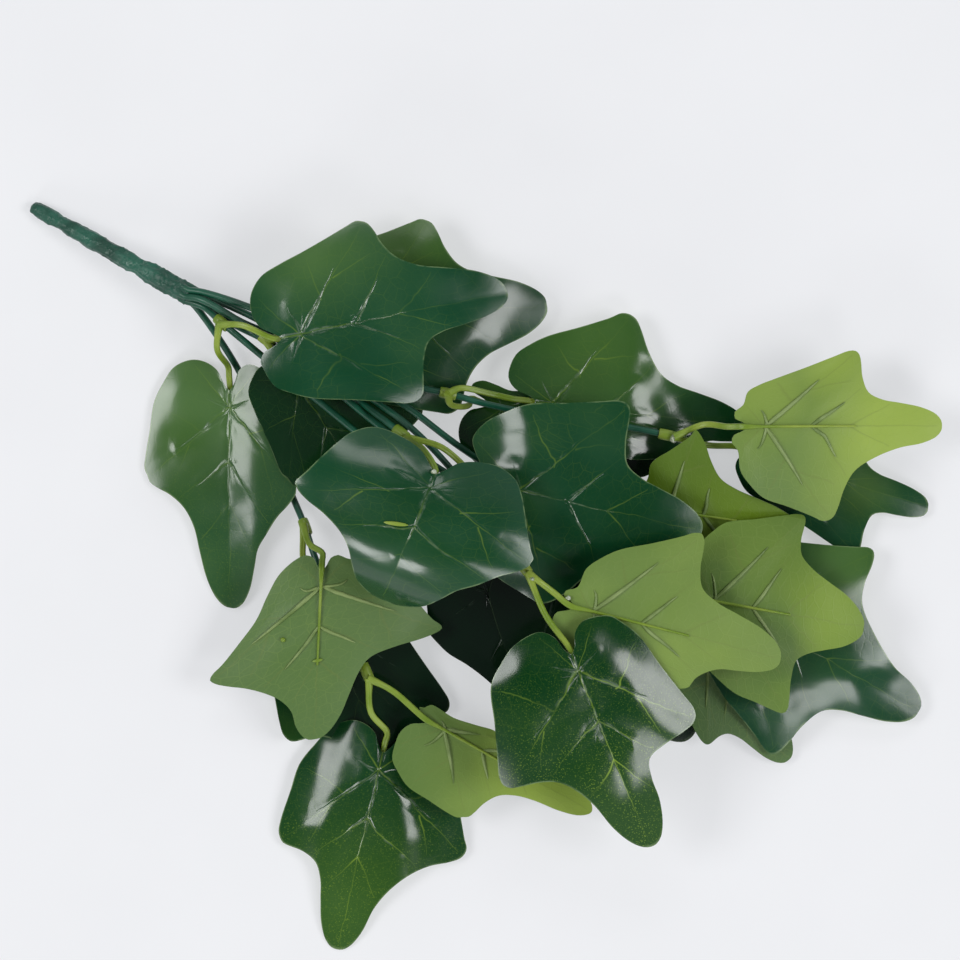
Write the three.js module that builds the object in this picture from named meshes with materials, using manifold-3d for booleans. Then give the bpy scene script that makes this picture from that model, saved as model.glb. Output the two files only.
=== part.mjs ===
// Artificial ivy spray lying on its leaves: a wrapped handle, seven moulded stems,
// eleven forked clips and twenty-two glossy ivy leaves. Millimetres, +Z up.
// X runs along the longer side of the spray, Y away from the low leaf tips.
// Z = 0 is the surface that the handle's end and two leaf tips rest on.

import * as THREE from 'three';
import Module from 'manifold-3d';
import { mergeVertices } from 'three/addons/utils/BufferGeometryUtils.js';

const wasm = await Module();
wasm.setup();

// Driving dimensions
const BLADE_THICKNESS = 0.8;
const STEM_RADIUS = 1.2;
const STEM_TIP_RADIUS = 1.1;
const STEM_SIDES = 8;
const STEM_STEP = 9;
const PETIOLE_RADIUS = 1.1;
const PETIOLE_TIP_RADIUS = 0.7;
const CROWN_RADIUS = 1.6;
const PETIOLE_SIDES = 6;
const PETIOLE_STEP = 5;
const GAP = 0.3;
const HANDLE_TIP = [-167.2, 136.5, 1.8];
const HANDLE_END = [-111.4, 105.1, 13];
const HANDLE_SIDES = 18;
const HANDLE_RINGS = 34;
const HANDLE_RIDGES = 9;
const HANDLE_RIDGE_HEIGHT = 0.22;
const HANDLE_TIP_ROUND = 0.8;
const STEM_RING_RADIUS = 2.75;
const STEM_STRAIGHT = 2;

// The handle's radius along its length, as [share of the length, radius]
const HANDLE_PROFILE = [
  [0, 1.9], [0.025, 2.6], [0.12, 3], [0.2, 2.6], [0.28, 3.1], [0.42, 3.35], [0.47, 3],
  [0.55, 3.3], [0.68, 3.5], [0.72, 3.3], [0.8, 3.8], [0.9, 4.1], [1, 4],
];

// Leaf outline on one side of the midrib: along the midrib and out from it,
// both as shares of the leaf's length, from the notch at the stalk to the tip
const HALF_OUTLINE = [
  [0, 0], [-0.035, 0.032], [-0.08, 0.065], [-0.105, 0.13], [-0.095, 0.21], [-0.04, 0.285],
  [0.05, 0.33], [0.16, 0.37], [0.27, 0.4], [0.37, 0.43], [0.43, 0.43],
  [0.485, 0.37], [0.52, 0.29], [0.58, 0.21], [0.66, 0.165], [0.76, 0.14],
  [0.88, 0.108], [0.962, 0.066], [1, 0],
];
// The outline's points that each leaf puts in its own place: the back lobe, the side,
// the side lobe's tip, the hollow ahead of it and, on some, the neck behind the tip
const BACK = 4;
const SIDE = 7;
const LOBE = 10;
const HOLLOW = 13;
const NECK = 15;
const TIP = 18;
// A lobe's end gets a point on each side: this share of the way to the next point,
// and pushed out by this share of that way
const CORNER_REACH = 0.45;
const CORNER_BULGE = 0.15;
const OUTLINE_CENTRE = 0.38;
const WIDEST = 0.43;
const RINGS = [0.4, 0.74, 1];
const NORMAL_STEP = 0.004;

const UP = new THREE.Vector3(0, 0, 1);
const radians = THREE.MathUtils.degToRad;
const vector = (p) => new THREE.Vector3(p[0], p[1], p[2]);

// Materials
function plastic(colour, roughness) {
  return new THREE.MeshStandardMaterial({ color: colour, roughness, metalness: 0 });
}
const LEAF_TOP = plastic(0x19472e, 0.3);
const LEAF_BACK = plastic(0x70893c, 0.6);
const CLIP_LIME = plastic(0x9ab83e, 0.5);
const STEM_TEAL = plastic(0x0b6449, 0.45);
const WRAP_TEAL = plastic(0x326955, 0.65);

// Leaves. at is the notch where the stalk joins and tip is the leaf's end, in plan
// position and height. left and right give each half's back lobe, side, side lobe and
// hollow, along and out as shares of the length, left being to the left looking from
// notch to tip. Angles in degrees: roll lifts the left side, droop bends the leaf down
// along its length, fold lifts the left and right halves from the midrib and arch
// bends both down again.
const PLAIN = [[-0.1, 0.2], [0.14, 0.36], [0.43, 0.43], [0.58, 0.21]];
const LEAVES = {
  A: { at: [-74.7, 87.3, 33], tip: [8.1, 104.3, 26], roll: 0, droop: 24, fold: [6, 2], arch: 24,
    left: [[-0.09, 0.21], [0.17, 0.35], [0.44, 0.43], [0.56, 0.24]],
    right: [[-0.1, 0.12], [0.08, 0.28], [0.53, 0.38], [0.62, 0.14]] },
  B: { at: [-52, 92.5, 19], tip: [23.3, 100.3, 9], roll: 0, droop: 14, fold: [0, 0], arch: 14,
    left: [[-0.1, 0.2], [0.14, 0.4], [0.455, 0.47], [0.58, 0.24]],
    right: [[-0.1, 0.2], [0.16, 0.4], [0.5, 0.48], [0.62, 0.27]] },
  C: { at: [-94.7, 68.8, 9], tip: [-94.4, -12.2, 3], roll: 4, droop: 14, fold: [4, -2], arch: 12,
    left: [[-0.11, 0.12], [0.14, 0.26], [0.44, 0.31], [0.66, 0.17]],
    right: [[-0.14, 0.18], [0.05, 0.35], [0.39, 0.38], [0.54, 0.21]] },
  D: { at: [-72.2, 76.2, 13], tip: [-29.6, 11.5, 8], roll: 0, droop: 12, fold: [0, 2], arch: 8,
    left: [[-0.1, 0.2], [0.16, 0.36], [0.5, 0.43], [0.6, 0.22]],
    right: [[-0.06, 0.17], [0.17, 0.26], [0.43, 0.29], [0.6, 0.2]] },
  F: { at: [-18.1, 37.8, 54], tip: [-37, -8.1, 32], length: 96, roll: 0, droop: 70, fold: [4, 2], arch: 20,
    left: [[-0.17, 0.22], [0, 0.37], [0.27, 0.47], [0.53, 0.31]],
    right: [[-0.12, 0.28], [0.18, 0.43], [0.4, 0.47], [0.55, 0.25]] },
  G: { at: [6.3, 32.9, 33], tip: [79.6, 17, 27], roll: 5, droop: 20, fold: [2, 0], arch: 16,
    left: [[-0.2, 0.2], [0.03, 0.42], [0.51, 0.53], [0.57, 0.24]],
    right: [[-0.1, 0.3], [0.09, 0.48], [0.33, 0.53], [0.59, 0.24]] },
  H: { at: [18.5, 64.4, 11], tip: [96.9, 54.8, 7], roll: 0, droop: 12, fold: [2, 0], arch: 10,
    left: [[-0.14, 0.12], [0.02, 0.31], [0.39, 0.46], [0.57, 0.2]],
    right: [[-0.1, 0.12], [0.14, 0.18], [0.59, 0.2], [0.8, 0.11]] },
  I: { at: [96.2, 55.1, 28], tip: [168, 55.5, 17], roll: 0, droop: 12, fold: [0, 0], arch: 14,
    underside: true,
    left: [[-0.02, 0.11], [0.14, 0.24], [0.56, 0.38], [0.62, 0.17]],
    right: [[-0.05, 0.12], [0.08, 0.36], [0.42, 0.48], [0.55, 0.225], [0.78, 0.11]] },
  J: { at: [62.9, 25.2, 17.3], tip: [116.6, 17, 16.5], roll: 0, droop: 10, fold: [15, 1], arch: 10,
    underside: true,
    left: [[-0.08, 0.21], [0.02, 0.39], [0.19, 0.57], [0.4, 0.27]],
    right: [[-0.1, 0.2], [0.14, 0.34], [0.43, 0.4], [0.58, 0.2]] },
  K: { at: [78.4, -7.8, 28], tip: [139.1, -18.9, 21], roll: 0, droop: 10, fold: [0, 0], arch: 14,
    underside: true,
    left: [[-0.06, 0.22], [0.08, 0.47], [0.54, 0.6], [0.56, 0.36]],
    right: [[-0.02, 0.24], [0.32, 0.52], [0.64, 0.58], [0.64, 0.26]] },
  L: { at: [32.6, -10.7, 44], tip: [107.9, -29.8, 36], roll: 0, droop: 12, fold: [0, 0], arch: 12,
    underside: true,
    left: [[-0.01, 0.09], [0.14, 0.31], [0.5, 0.48], [0.56, 0.23]],
    right: [[-0.06, 0.12], [0.28, 0.25], [0.58, 0.25], [0.67, 0.15]] },
  M: { at: [98.8, 45.9, 11], tip: [163.2, 25.5, 0.4], roll: 0, droop: 10, fold: [3, 3], arch: 8,
    left: [[-0.1, 0.2], [0.14, 0.34], [0.43, 0.36], [0.62, 0.12]],
    right: [[-0.03, 0.16], [0.25, 0.26], [0.7, 0.37], [0.72, 0.13]] },
  N: { at: [87.7, -8.9, 15.8], tip: [160.6, -50.3, 7], roll: -1, droop: 14, fold: [0, 0], arch: 14,
    left: [[-0.1, 0.2], [0.17, 0.39], [0.47, 0.52], [0.54, 0.29], [0.8, 0.12]],
    right: [[-0.03, 0.15], [0.2, 0.36], [0.53, 0.49], [0.62, 0.21]] },
  O: { at: [79.6, -23.7, 10.8], tip: [112.1, -68.1, 3], roll: 0, droop: 10, fold: [0, 0], arch: 6,
    underside: true,
    left: PLAIN,
    right: [[-0.1, 0.2], [0.2, 0.34], [0.58, 0.38], [0.61, 0.22]] },
  Q: { at: [31.5, -28, 50], tip: [60.6, -98, 24], roll: 4, droop: 26, fold: [2, 2], arch: 20,
    left: [[-0.12, 0.15], [0.04, 0.32], [0.5, 0.42], [0.58, 0.15], [0.78, 0.12]],
    right: [[-0.15, 0.12], [0, 0.39], [0.47, 0.51], [0.54, 0.27], [0.7, 0.16]] },
  R: { at: [-59.9, 2.2, 26], tip: [-62.9, -59.9, 15], roll: 0, droop: 16, fold: [0, 0], arch: 14,
    underside: true,
    left: [[-0.08, 0.14], [0.08, 0.5], [0.32, 0.73], [0.5, 0.3]],
    right: [[-0.06, 0.15], [0.31, 0.37], [0.7, 0.63], [0.75, 0.27], [0.84, 0.14]] },
  S: { at: [-37.7, -65.1, 10], tip: [-54.8, -138.1, 0.4], roll: 0, droop: 14, fold: [2, 2], arch: 10,
    left: [[-0.1, 0.2], [0.1, 0.4], [0.4, 0.51], [0.56, 0.26], [0.76, 0.13]],
    right: [[-0.12, 0.19], [0.15, 0.39], [0.53, 0.4], [0.6, 0.2]] },
  T: { at: [-20.4, -53.3, 17], tip: [39.2, -87, 10], roll: 0, droop: 10, fold: [0, 0], arch: 10,
    underside: true,
    left: [[-0.06, 0.05], [0.1, 0.08], [0.4, 0.12], [0.6, 0.12]],
    right: [[-0.1, 0.2], [0.07, 0.36], [0.41, 0.36], [0.52, 0.165], [0.7, 0.095]] },
  U: { at: [-61.8, -8.9, 9], tip: [-33.3, -79.2, 3], roll: 0, droop: 8, fold: [0, 0], arch: 6,
    left: [[-0.1, 0.2], [0.36, 0.34], [0.72, 0.4], [0.78, 0.2]],
    right: [[-0.1, 0.2], [0.2, 0.34], [0.57, 0.39], [0.64, 0.2]] },
  V: { at: [-1.9, 0.4, 9], tip: [27.8, -69.9, 2.5], roll: 0, droop: 10, fold: [0, 0], arch: 6,
    left: PLAIN,
    right: [[-0.1, 0.16], [0, 0.28], [0.18, 0.33], [0.49, 0.16]] },
  W: { at: [22.2, 5.2, 13], tip: [75.9, -59.9, 4], roll: 0, droop: 10, fold: [0, 0], arch: 8,
    left: PLAIN, right: PLAIN },
  Y: { at: [1.1, 63.3, 8], tip: [62.9, 40, 2.5], roll: 0, droop: 8, fold: [0, 0], arch: 6,
    left: [[-0.12, 0.08], [0.1, 0.12], [0.42, 0.3], [0.58, 0.18]],
    right: PLAIN },
};

// Stems. turn is the stem's place in the bundle at the handle's end, from the side
// that faces the far edge, with no turn for the middle one. path is its centre line.
const STEMS = {
  1: { turn: 240, path: [[-105.5, 98, 9.5], [-90.7, 75.5, 5], [-79.6, 50.3, 4.6], [-71, 29.2, 5.5],
    [-66.6, 18.9, 10], [-62.2, 5.9, 13], [-51.8, -16.3, 14], [-42.6, -37.7, 15]] },
  2: { turn: 180, path: [[-103.6, 99.2, 16], [-97, 93.6, 20], [-79.6, 79.2, 22.5], [-64.8, 67.4, 22.5],
    [-47, 52.9, 22], [-24, 34.8, 20], [-5.6, 17.8, 17], [5.6, 5.9, 14]] },
  3: { turn: 120, path: [[-104.5, 101.9, 19], [-88.8, 92.9, 22], [-80.3, 86.9, 22.5],
    [-55.5, 68.8, 22.5], [-39.6, 55.9, 22], [-13, 37.4, 22], [20.4, 20.7, 21.5], [57.4, 11.5, 20.5]] },
  4: { path: [[-104.5, 101.8, 14], [-89, 93.4, 17], [-80.3, 89.5, 18.7], [-66, 80.8, 21.5],
    [-53.7, 73.2, 22.7], [-46, 68.3, 23.2], [-39, 63.5, 24], [-27, 54.5, 26], [-12.2, 39.2, 31],
    [3.7, 17, 37], [15.9, 1.5, 39]] },
  5: { turn: 300, path: [[-104.5, 100.7, 10.6], [-92, 92.6, 14], [-79.6, 86.2, 18.2], [-66, 76.2, 18.3],
    [-54, 68.6, 18.8], [-46.5, 64.7, 20.3], [-40, 59.8, 26.5], [-34, 55.2, 32], [-28.5, 51, 35]] },
  6: { turn: 60, path: [[-103.5, 104.5, 18], [-85.1, 98.4, 21.5], [-53.7, 83.6, 23], [-24, 69.6, 20.5],
    [-13.7, 67.3, 19.5], [1.1, 63.3, 18.8], [27.8, 58.1, 17.5], [53.7, 54.8, 16.5], [69.9, 51.4, 16]] },
  7: { turn: 0, path: [[-104, 104, 14.6], [-85.1, 95.3, 18], [-53.7, 77.2, 22.5], [-31.5, 64.3, 21.5],
    [-9.3, 47.7, 19], [20.4, 28.1, 17], [50, 5.9, 17], [79.6, -8.9, 17.5]] },
};

// Clips. over is the crown's place on top of its stem, and each arm runs from it
// through its points to a leaf.
const CLIPS = {
  1: { over: [-97.6, 92.6, 22.9], arms: { A: [[-89, 92.2, 29]], C: [[-98.5, 84, 21]] } },
  2: { over: [-80.3, 86.4, 25.4], arms: {
    B: [[-72, 89.5, 27.5], [-64, 92, 26.5]], D: [[-77, 81.4, 25.5], [-75.7, 79.6, 19]] } },
  3: { over: [-66.8, 18.9, 13.3], arms: { R: [[-64.5, 12, 20]], U: [[-67, 6, 12]] } },
  4: { over: [-13.7, 67.1, 23.3], arms: {
    H: [[-9, 69.3, 19], [3, 67, 13.5]], Y: [[-12.5, 63.2, 19], [-6, 63, 13]] } },
  5: { over: [-28.6, 51, 36.9], arms: { F: [[-22, 46, 47]], G: [[-16, 47.5, 38]] } },
  6: { over: [15.6, 1.6, 41.8], arms: { L: [[25, -5.5, 45]], Q: [[22.2, -14, 46]] } },
  7: { over: [69.6, 51.3, 19], arms: { I: [[80, 55.8, 19.5]], M: [[82, 48.3, 14]] } },
  8: { over: [57, 11.5, 23.8], arms: { J: [[60, 18, 20]], K: [[68, 2, 26]] } },
  9: { over: [79.3, -8.9, 20.45], arms: { N: [[83.5, -7, 19]], O: [[74.5, -11, 18.5], [72, -15, 13]] } },
  10: { over: [-42.7, -37.5, 17.8], arms: { S: [[-42, -50, 15]], T: [[-34, -42, 20]] } },
  11: { over: [5.4, 6, 17.6], arms: { V: [[1, 6, 15]], W: [[14, 8, 16]] } },
};

// The same points with one more on each side of a corner, so that it ends blunt
function blunted(points, i) {
  const [before, corner, after] = points.slice(i - 1, i + 2);
  const outward = [0, 1].map((k) => corner[k] - (before[k] + after[k]) / 2);
  const size = Math.hypot(...outward);
  const beside = (point) => {
    const reach = Math.hypot(point[0] - corner[0], point[1] - corner[1]);
    return corner.map((value, k) => value + (point[k] - value) * CORNER_REACH
      + (outward[k] / size) * reach * CORNER_BULGE);
  };
  return [...points.slice(0, i), beside(before), corner, beside(after), ...points.slice(i + 1)];
}

// A leaf's outline, both sides, as [along, out] points round from the notch
function outline(leaf) {
  const side = (sign, own) => {
    const marks = [0, ...[BACK, SIDE, LOBE, HOLLOW, NECK].slice(0, own.length), TIP];
    const places = [HALF_OUTLINE[0], ...own, HALF_OUTLINE[TIP]];
    const shifts = marks.map((mark, i) => [
      places[i][0] - HALF_OUTLINE[mark][0], places[i][1] - HALF_OUTLINE[mark][1]]);
    const points = HALF_OUTLINE.map(([along, out], i) => {
      const next = Math.max(1, marks.findIndex((mark) => mark >= i));
      const part = (i - marks[next - 1]) / (marks[next] - marks[next - 1]);
      const share = next === 1 ? part * part : part;
      const shift = (k) => shifts[next - 1][k] + (shifts[next][k] - shifts[next - 1][k]) * share;
      return [along + shift(0), sign * (out + shift(1))];
    });
    return blunted(points, LOBE);
  };
  const left = side(1, leaf.left);
  const right = side(-1, leaf.right);
  return blunted([...left, ...right.slice(1, -1).reverse()], left.length - 1);
}

// The leaf's middle surface as a function of [along, out] in shares of its length
function surface(leaf) {
  const at = vector(leaf.at);
  const tip = vector(leaf.tip);
  const droop = radians(leaf.droop);
  const chord = tip.distanceTo(at);
  const bent = droop ? Math.sin(droop / 2) / (droop / 2) : 1;
  const length = leaf.length ? leaf.length : chord / bent;
  const reach = chord / (length * bent);
  const ahead = tip.clone().sub(at).normalize();
  const across = new THREE.Vector3().crossVectors(UP, ahead).normalize();
  across.applyAxisAngle(ahead, radians(leaf.roll));
  const lift = new THREE.Vector3().crossVectors(ahead, across);
  const turn = (share) => droop * (0.5 - share);
  const centre = (share) => {
    const back = droop ? (Math.sin(droop / 2) - Math.sin(turn(share))) / droop : share;
    const rise = droop ? (Math.cos(turn(share)) - Math.cos(droop / 2)) / droop : 0;
    return [back * length * reach, rise * length];
  };
  return (share, out) => {
    const [forward, up] = centre(share);
    const angle = turn(share);
    const half = Math.abs(out) * length;
    const fold = radians(out >= 0 ? leaf.fold[0] : leaf.fold[1]);
    const arch = radians(leaf.arch) / (WIDEST * length);
    const wide = arch ? (Math.sin(fold) - Math.sin(fold - arch * half)) / arch : half;
    const high = arch ? (Math.cos(fold - arch * half) - Math.cos(fold)) / arch : 0;
    return at.clone()
      .addScaledVector(ahead, forward - high * Math.sin(angle))
      .addScaledVector(lift, up + high * Math.cos(angle))
      .addScaledVector(across, Math.sign(out) * wide);
  };
}

function normalAt(shape, share, out) {
  const along = shape(share + NORMAL_STEP, out).sub(shape(share - NORMAL_STEP, out));
  const across = shape(share, out + NORMAL_STEP).sub(shape(share, out - NORMAL_STEP));
  return along.cross(across).normalize();
}

function geometryOf(points, triangles) {
  const geometry = new THREE.BufferGeometry();
  const flat = points.flatMap((p) => [p.x, p.y, p.z]);
  geometry.setAttribute('position', new THREE.Float32BufferAttribute(flat, 3));
  geometry.setIndex(triangles);
  geometry.computeVertexNormals();
  return geometry;
}

// A thin blade: both faces are the same net of rings round a centre on the midrib
function blade(leaf) {
  const shape = surface(leaf);
  const rim = outline(leaf);
  const count = rim.length;
  const net = [[OUTLINE_CENTRE, 0]];
  for (const ring of RINGS) {
    for (const [along, out] of rim) {
      net.push([OUTLINE_CENTRE + (along - OUTLINE_CENTRE) * ring, out * ring]);
    }
  }
  const points = [];
  for (const half of [BLADE_THICKNESS / 2, -BLADE_THICKNESS / 2]) {
    for (const [along, out] of net) {
      points.push(shape(along, out).addScaledVector(normalAt(shape, along, out), half));
    }
  }
  const face = [];
  const corner = (ring, i) => 1 + ring * count + (i % count);
  for (let i = 0; i < count; i += 1) {
    face.push([0, corner(0, i + 1), corner(0, i)]);
    for (let ring = 0; ring + 1 < RINGS.length; ring += 1) {
      face.push([corner(ring, i), corner(ring, i + 1), corner(ring + 1, i)]);
      face.push([corner(ring, i + 1), corner(ring + 1, i + 1), corner(ring + 1, i)]);
    }
  }
  const under = net.length;
  const triangles = [];
  for (const [a, b, c] of face) triangles.push(a, b, c, under + a, under + c, under + b);
  const last = RINGS.length - 1;
  for (let i = 0; i < count; i += 1) {
    const a = corner(last, i);
    const b = corner(last, i + 1);
    triangles.push(a, b, under + a, b, under + b, under + a);
  }
  return geometryOf(points, triangles);
}

// A closed round tube through points, each with its own radius
function tube(points, radii, sides) {
  const rings = [];
  let side = null;
  points.forEach((point, i) => {
    const before = points[Math.max(i - 1, 0)];
    const after = points[Math.min(i + 1, points.length - 1)];
    const ahead = after.clone().sub(before).normalize();
    if (!side) side = new THREE.Vector3().crossVectors(ahead, UP).normalize();
    side.addScaledVector(ahead, -side.dot(ahead)).normalize();
    const other = new THREE.Vector3().crossVectors(ahead, side);
    for (let k = 0; k < sides; k += 1) {
      const angle = (k / sides) * Math.PI * 2;
      rings.push(point.clone()
        .addScaledVector(side, Math.cos(angle) * radii[i])
        .addScaledVector(other, Math.sin(angle) * radii[i]));
    }
  });
  const first = rings.length;
  const all = [...rings, points[0], points[points.length - 1]];
  const triangles = [];
  for (let i = 0; i + 1 < points.length; i += 1) {
    for (let k = 0; k < sides; k += 1) {
      const a = i * sides + k;
      const b = i * sides + ((k + 1) % sides);
      triangles.push(a, b, a + sides, b, b + sides, a + sides);
    }
  }
  const end = (points.length - 1) * sides;
  for (let k = 0; k < sides; k += 1) {
    const next = (k + 1) % sides;
    triangles.push(first, next, k, first + 1, end + k, end + next);
  }
  return geometryOf(all, triangles);
}

// Points at even steps along a smooth curve through the given points
function smooth(points, step) {
  const curve = new THREE.CatmullRomCurve3(points, false, 'centripetal');
  return curve.getSpacedPoints(Math.max(2, Math.round(curve.getLength() / step)));
}

const handleAxis = vector(HANDLE_END).sub(vector(HANDLE_TIP)).normalize();
const handleSide = new THREE.Vector3().crossVectors(UP, handleAxis).normalize();
const handleRise = new THREE.Vector3().crossVectors(handleAxis, handleSide);

// The handle: seven stem roots wound with tape, thicker toward the leaves, with
// low ridges where the roots show through and pinches where the tape is pulled tight
function handle() {
  const length = vector(HANDLE_END).distanceTo(vector(HANDLE_TIP));
  const radiusAt = (share) => {
    const i = Math.max(1, HANDLE_PROFILE.findIndex((p) => p[0] >= share));
    const [a, b] = [HANDLE_PROFILE[i - 1], HANDLE_PROFILE[i]];
    return a[1] + ((b[1] - a[1]) * (share - a[0])) / (b[0] - a[0]);
  };
  const points = [];
  for (let i = 0; i <= HANDLE_RINGS; i += 1) {
    const share = i / HANDLE_RINGS;
    const middle = vector(HANDLE_TIP).addScaledVector(handleAxis, share * length);
    for (let k = 0; k < HANDLE_SIDES; k += 1) {
      const angle = (k / HANDLE_SIDES) * Math.PI * 2;
      const ridge = HANDLE_RIDGE_HEIGHT * Math.cos(angle * HANDLE_RIDGES) * share;
      const radius = radiusAt(share) + ridge;
      points.push(middle.clone()
        .addScaledVector(handleSide, Math.cos(angle) * radius)
        .addScaledVector(handleRise, Math.sin(angle) * radius));
    }
  }
  points.push(vector(HANDLE_TIP).addScaledVector(handleAxis, -HANDLE_TIP_ROUND), vector(HANDLE_END));
  const triangles = [];
  for (let i = 0; i < HANDLE_RINGS; i += 1) {
    for (let k = 0; k < HANDLE_SIDES; k += 1) {
      const a = i * HANDLE_SIDES + k;
      const b = i * HANDLE_SIDES + ((k + 1) % HANDLE_SIDES);
      triangles.push(a, b, a + HANDLE_SIDES, b, b + HANDLE_SIDES, a + HANDLE_SIDES);
    }
  }
  const tip = (HANDLE_RINGS + 1) * HANDLE_SIDES;
  const end = HANDLE_RINGS * HANDLE_SIDES;
  for (let k = 0; k < HANDLE_SIDES; k += 1) {
    const next = (k + 1) % HANDLE_SIDES;
    triangles.push(tip, next, k, tip + 1, end + k, end + next);
  }
  return flattened(geometryOf(points, triangles));
}

function solid(geometry) {
  const bare = geometry.clone();
  bare.deleteAttribute('normal');
  bare.deleteAttribute('uv');
  const merged = mergeVertices(bare);
  return new wasm.Manifold(new wasm.Mesh({
    numProp: 3,
    vertProperties: new Float32Array(merged.attributes.position.array),
    triVerts: new Uint32Array(merged.index.array),
  }));
}

function geometryFrom(manifold) {
  const mesh = manifold.getMesh();
  const geometry = new THREE.BufferGeometry();
  geometry.setAttribute('position', new THREE.BufferAttribute(mesh.vertProperties, 3));
  geometry.setIndex(new THREE.BufferAttribute(mesh.triVerts, 1));
  geometry.computeVertexNormals();
  return geometry;
}

// What would reach below the surface is cut flat on it
function flattened(geometry) {
  geometry.computeBoundingBox();
  const { min, max } = geometry.boundingBox;
  const wide = max.distanceTo(min) * 2;
  const block = new THREE.BoxGeometry(wide, wide, wide)
    .translate((min.x + max.x) / 2, (min.y + max.y) / 2, -wide / 2);
  return geometryFrom(solid(geometry).subtract(solid(block)));
}

// A stem starts at the handle's end face, in its place in the bundle
function stem({ turn, path }) {
  const out = turn === undefined ? 0 : STEM_RING_RADIUS;
  const angle = radians(turn || 0);
  const root = vector(HANDLE_END)
    .addScaledVector(handleAxis, GAP)
    .addScaledVector(handleSide, out * Math.cos(angle))
    .addScaledVector(handleRise, out * Math.sin(angle));
  const ahead = root.clone().addScaledVector(handleAxis, STEM_STRAIGHT);
  const points = [root, ...smooth([ahead, ...path.map(vector)], STEM_STEP)];
  const radii = points.map((_, i) => (
    STEM_RADIUS + ((STEM_TIP_RADIUS - STEM_RADIUS) * i) / (points.length - 1)));
  return tube(points, radii, STEM_SIDES);
}

// The last part of an arm lies along the leaf's back, on the midrib, as far as the
// blade's inner ring. An arm that comes from the leaf's front goes through the notch.
function alongBack(leaf, from) {
  const shape = surface(leaf);
  const sign = leaf.underside ? 1 : -1;
  const clear = BLADE_THICKNESS / 2 + GAP + PETIOLE_RADIUS;
  const beside = (share, level) => (
    shape(share, 0).addScaledVector(normalAt(shape, share, 0), sign * clear * level));
  const height = from.clone().sub(shape(0, 0)).dot(normalAt(shape, 0, 0)) * sign;
  const entry = height > 0
    ? [beside(-0.09, 1.3), beside(-0.02, 1.02)]
    : [beside(-0.1, -0.9), beside(-0.06, -0.05), beside(-0.022, 0.95)];
  const ends = [1, RINGS[1], RINGS[0]].map((ring) => beside(OUTLINE_CENTRE * (1 - ring), 1));
  return [entry, ends];
}

function clip({ over, arms }) {
  const [first, second] = Object.entries(arms);
  const crown = vector(over);
  const arm = ([name, through]) => {
    const before = through.map(vector);
    const [entry, ends] = alongBack(LEAVES[name], before[before.length - 1]);
    const free = smooth([crown, ...before, entry[0]], PETIOLE_STEP);
    return [...free, ...entry.slice(1), ...ends];
  };
  const one = arm(first);
  const two = arm(second);
  const points = [...one.slice(1).reverse(), ...two];
  const middle = one.length - 1;
  const radii = points.map((_, i) => {
    if (i === middle) return CROWN_RADIUS;
    if (i === 0 || i === points.length - 1) return PETIOLE_TIP_RADIUS;
    return PETIOLE_RADIUS;
  });
  return tube(points, radii, PETIOLE_SIDES);
}

const group = new THREE.Group();

function add(name, geometry, material) {
  const mesh = new THREE.Mesh(geometry, material);
  mesh.name = name;
  group.add(mesh);
}

add('handle', handle(), WRAP_TEAL);
for (const [name, row] of Object.entries(STEMS)) add(`stem_${name}`, stem(row), STEM_TEAL);
for (const [name, row] of Object.entries(CLIPS)) add(`clip_${name}`, clip(row), CLIP_LIME);
for (const [name, row] of Object.entries(LEAVES)) {
  add(`leaf_${name}`, blade(row), row.underside ? LEAF_BACK : LEAF_TOP);
}

export default group;
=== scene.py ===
import math

import bpy
import numpy as np
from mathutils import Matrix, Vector
from numpy.linalg import norm


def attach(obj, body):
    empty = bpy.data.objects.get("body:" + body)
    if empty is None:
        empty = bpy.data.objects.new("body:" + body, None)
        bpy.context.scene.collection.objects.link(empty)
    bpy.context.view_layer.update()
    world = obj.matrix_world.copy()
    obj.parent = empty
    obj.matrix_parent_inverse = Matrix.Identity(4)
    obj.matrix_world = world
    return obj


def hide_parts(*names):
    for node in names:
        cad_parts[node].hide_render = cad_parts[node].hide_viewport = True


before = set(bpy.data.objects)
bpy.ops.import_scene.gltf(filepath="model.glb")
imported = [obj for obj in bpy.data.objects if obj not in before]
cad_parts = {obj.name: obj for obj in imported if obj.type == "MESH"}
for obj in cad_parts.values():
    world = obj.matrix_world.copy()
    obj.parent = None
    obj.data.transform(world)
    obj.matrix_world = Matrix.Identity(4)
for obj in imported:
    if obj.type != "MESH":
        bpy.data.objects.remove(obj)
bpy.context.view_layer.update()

# Artificial ivy spray: finer blades, arms, stems and handle over the solids' own forms.
# Tables are in millimetres, as the solids' source has them; pieces are built in metres.
MM = 0.001

# The blade here is thinner than the solids' own, and both keep the same middle surface
BLADE = 0.62
SOLID_BLADE = 0.8
GAP = 0.3
PETIOLE = 1.1
STEM = 1.2
STEM_TIP = 1.1
STEM_STRAIGHT = 2
STEM_RING = 2.75
HANDLE_TIP = (-167.2, 136.5, 1.8)
HANDLE_END = (-111.4, 105.1, 13)

# Leaf outline on one side of the midrib, along and out in shares of the leaf's length
HALF_OUTLINE = [
    (0, 0), (-0.035, 0.032), (-0.08, 0.065), (-0.105, 0.13), (-0.095, 0.21), (-0.04, 0.285),
    (0.05, 0.33), (0.16, 0.37), (0.27, 0.4), (0.37, 0.43), (0.43, 0.43),
    (0.485, 0.37), (0.52, 0.29), (0.58, 0.21), (0.66, 0.165), (0.76, 0.14),
    (0.88, 0.108), (0.962, 0.066), (1, 0),
]
# The outline's points that each leaf puts in its own place
MARKS = (4, 7, 10, 13, 15)
LOBE = 10
CORNER_REACH = 0.45
CORNER_BULGE = 0.15
WIDEST = 0.43
PLAIN = [(-0.1, 0.2), (0.14, 0.36), (0.43, 0.43), (0.58, 0.21)]


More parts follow.
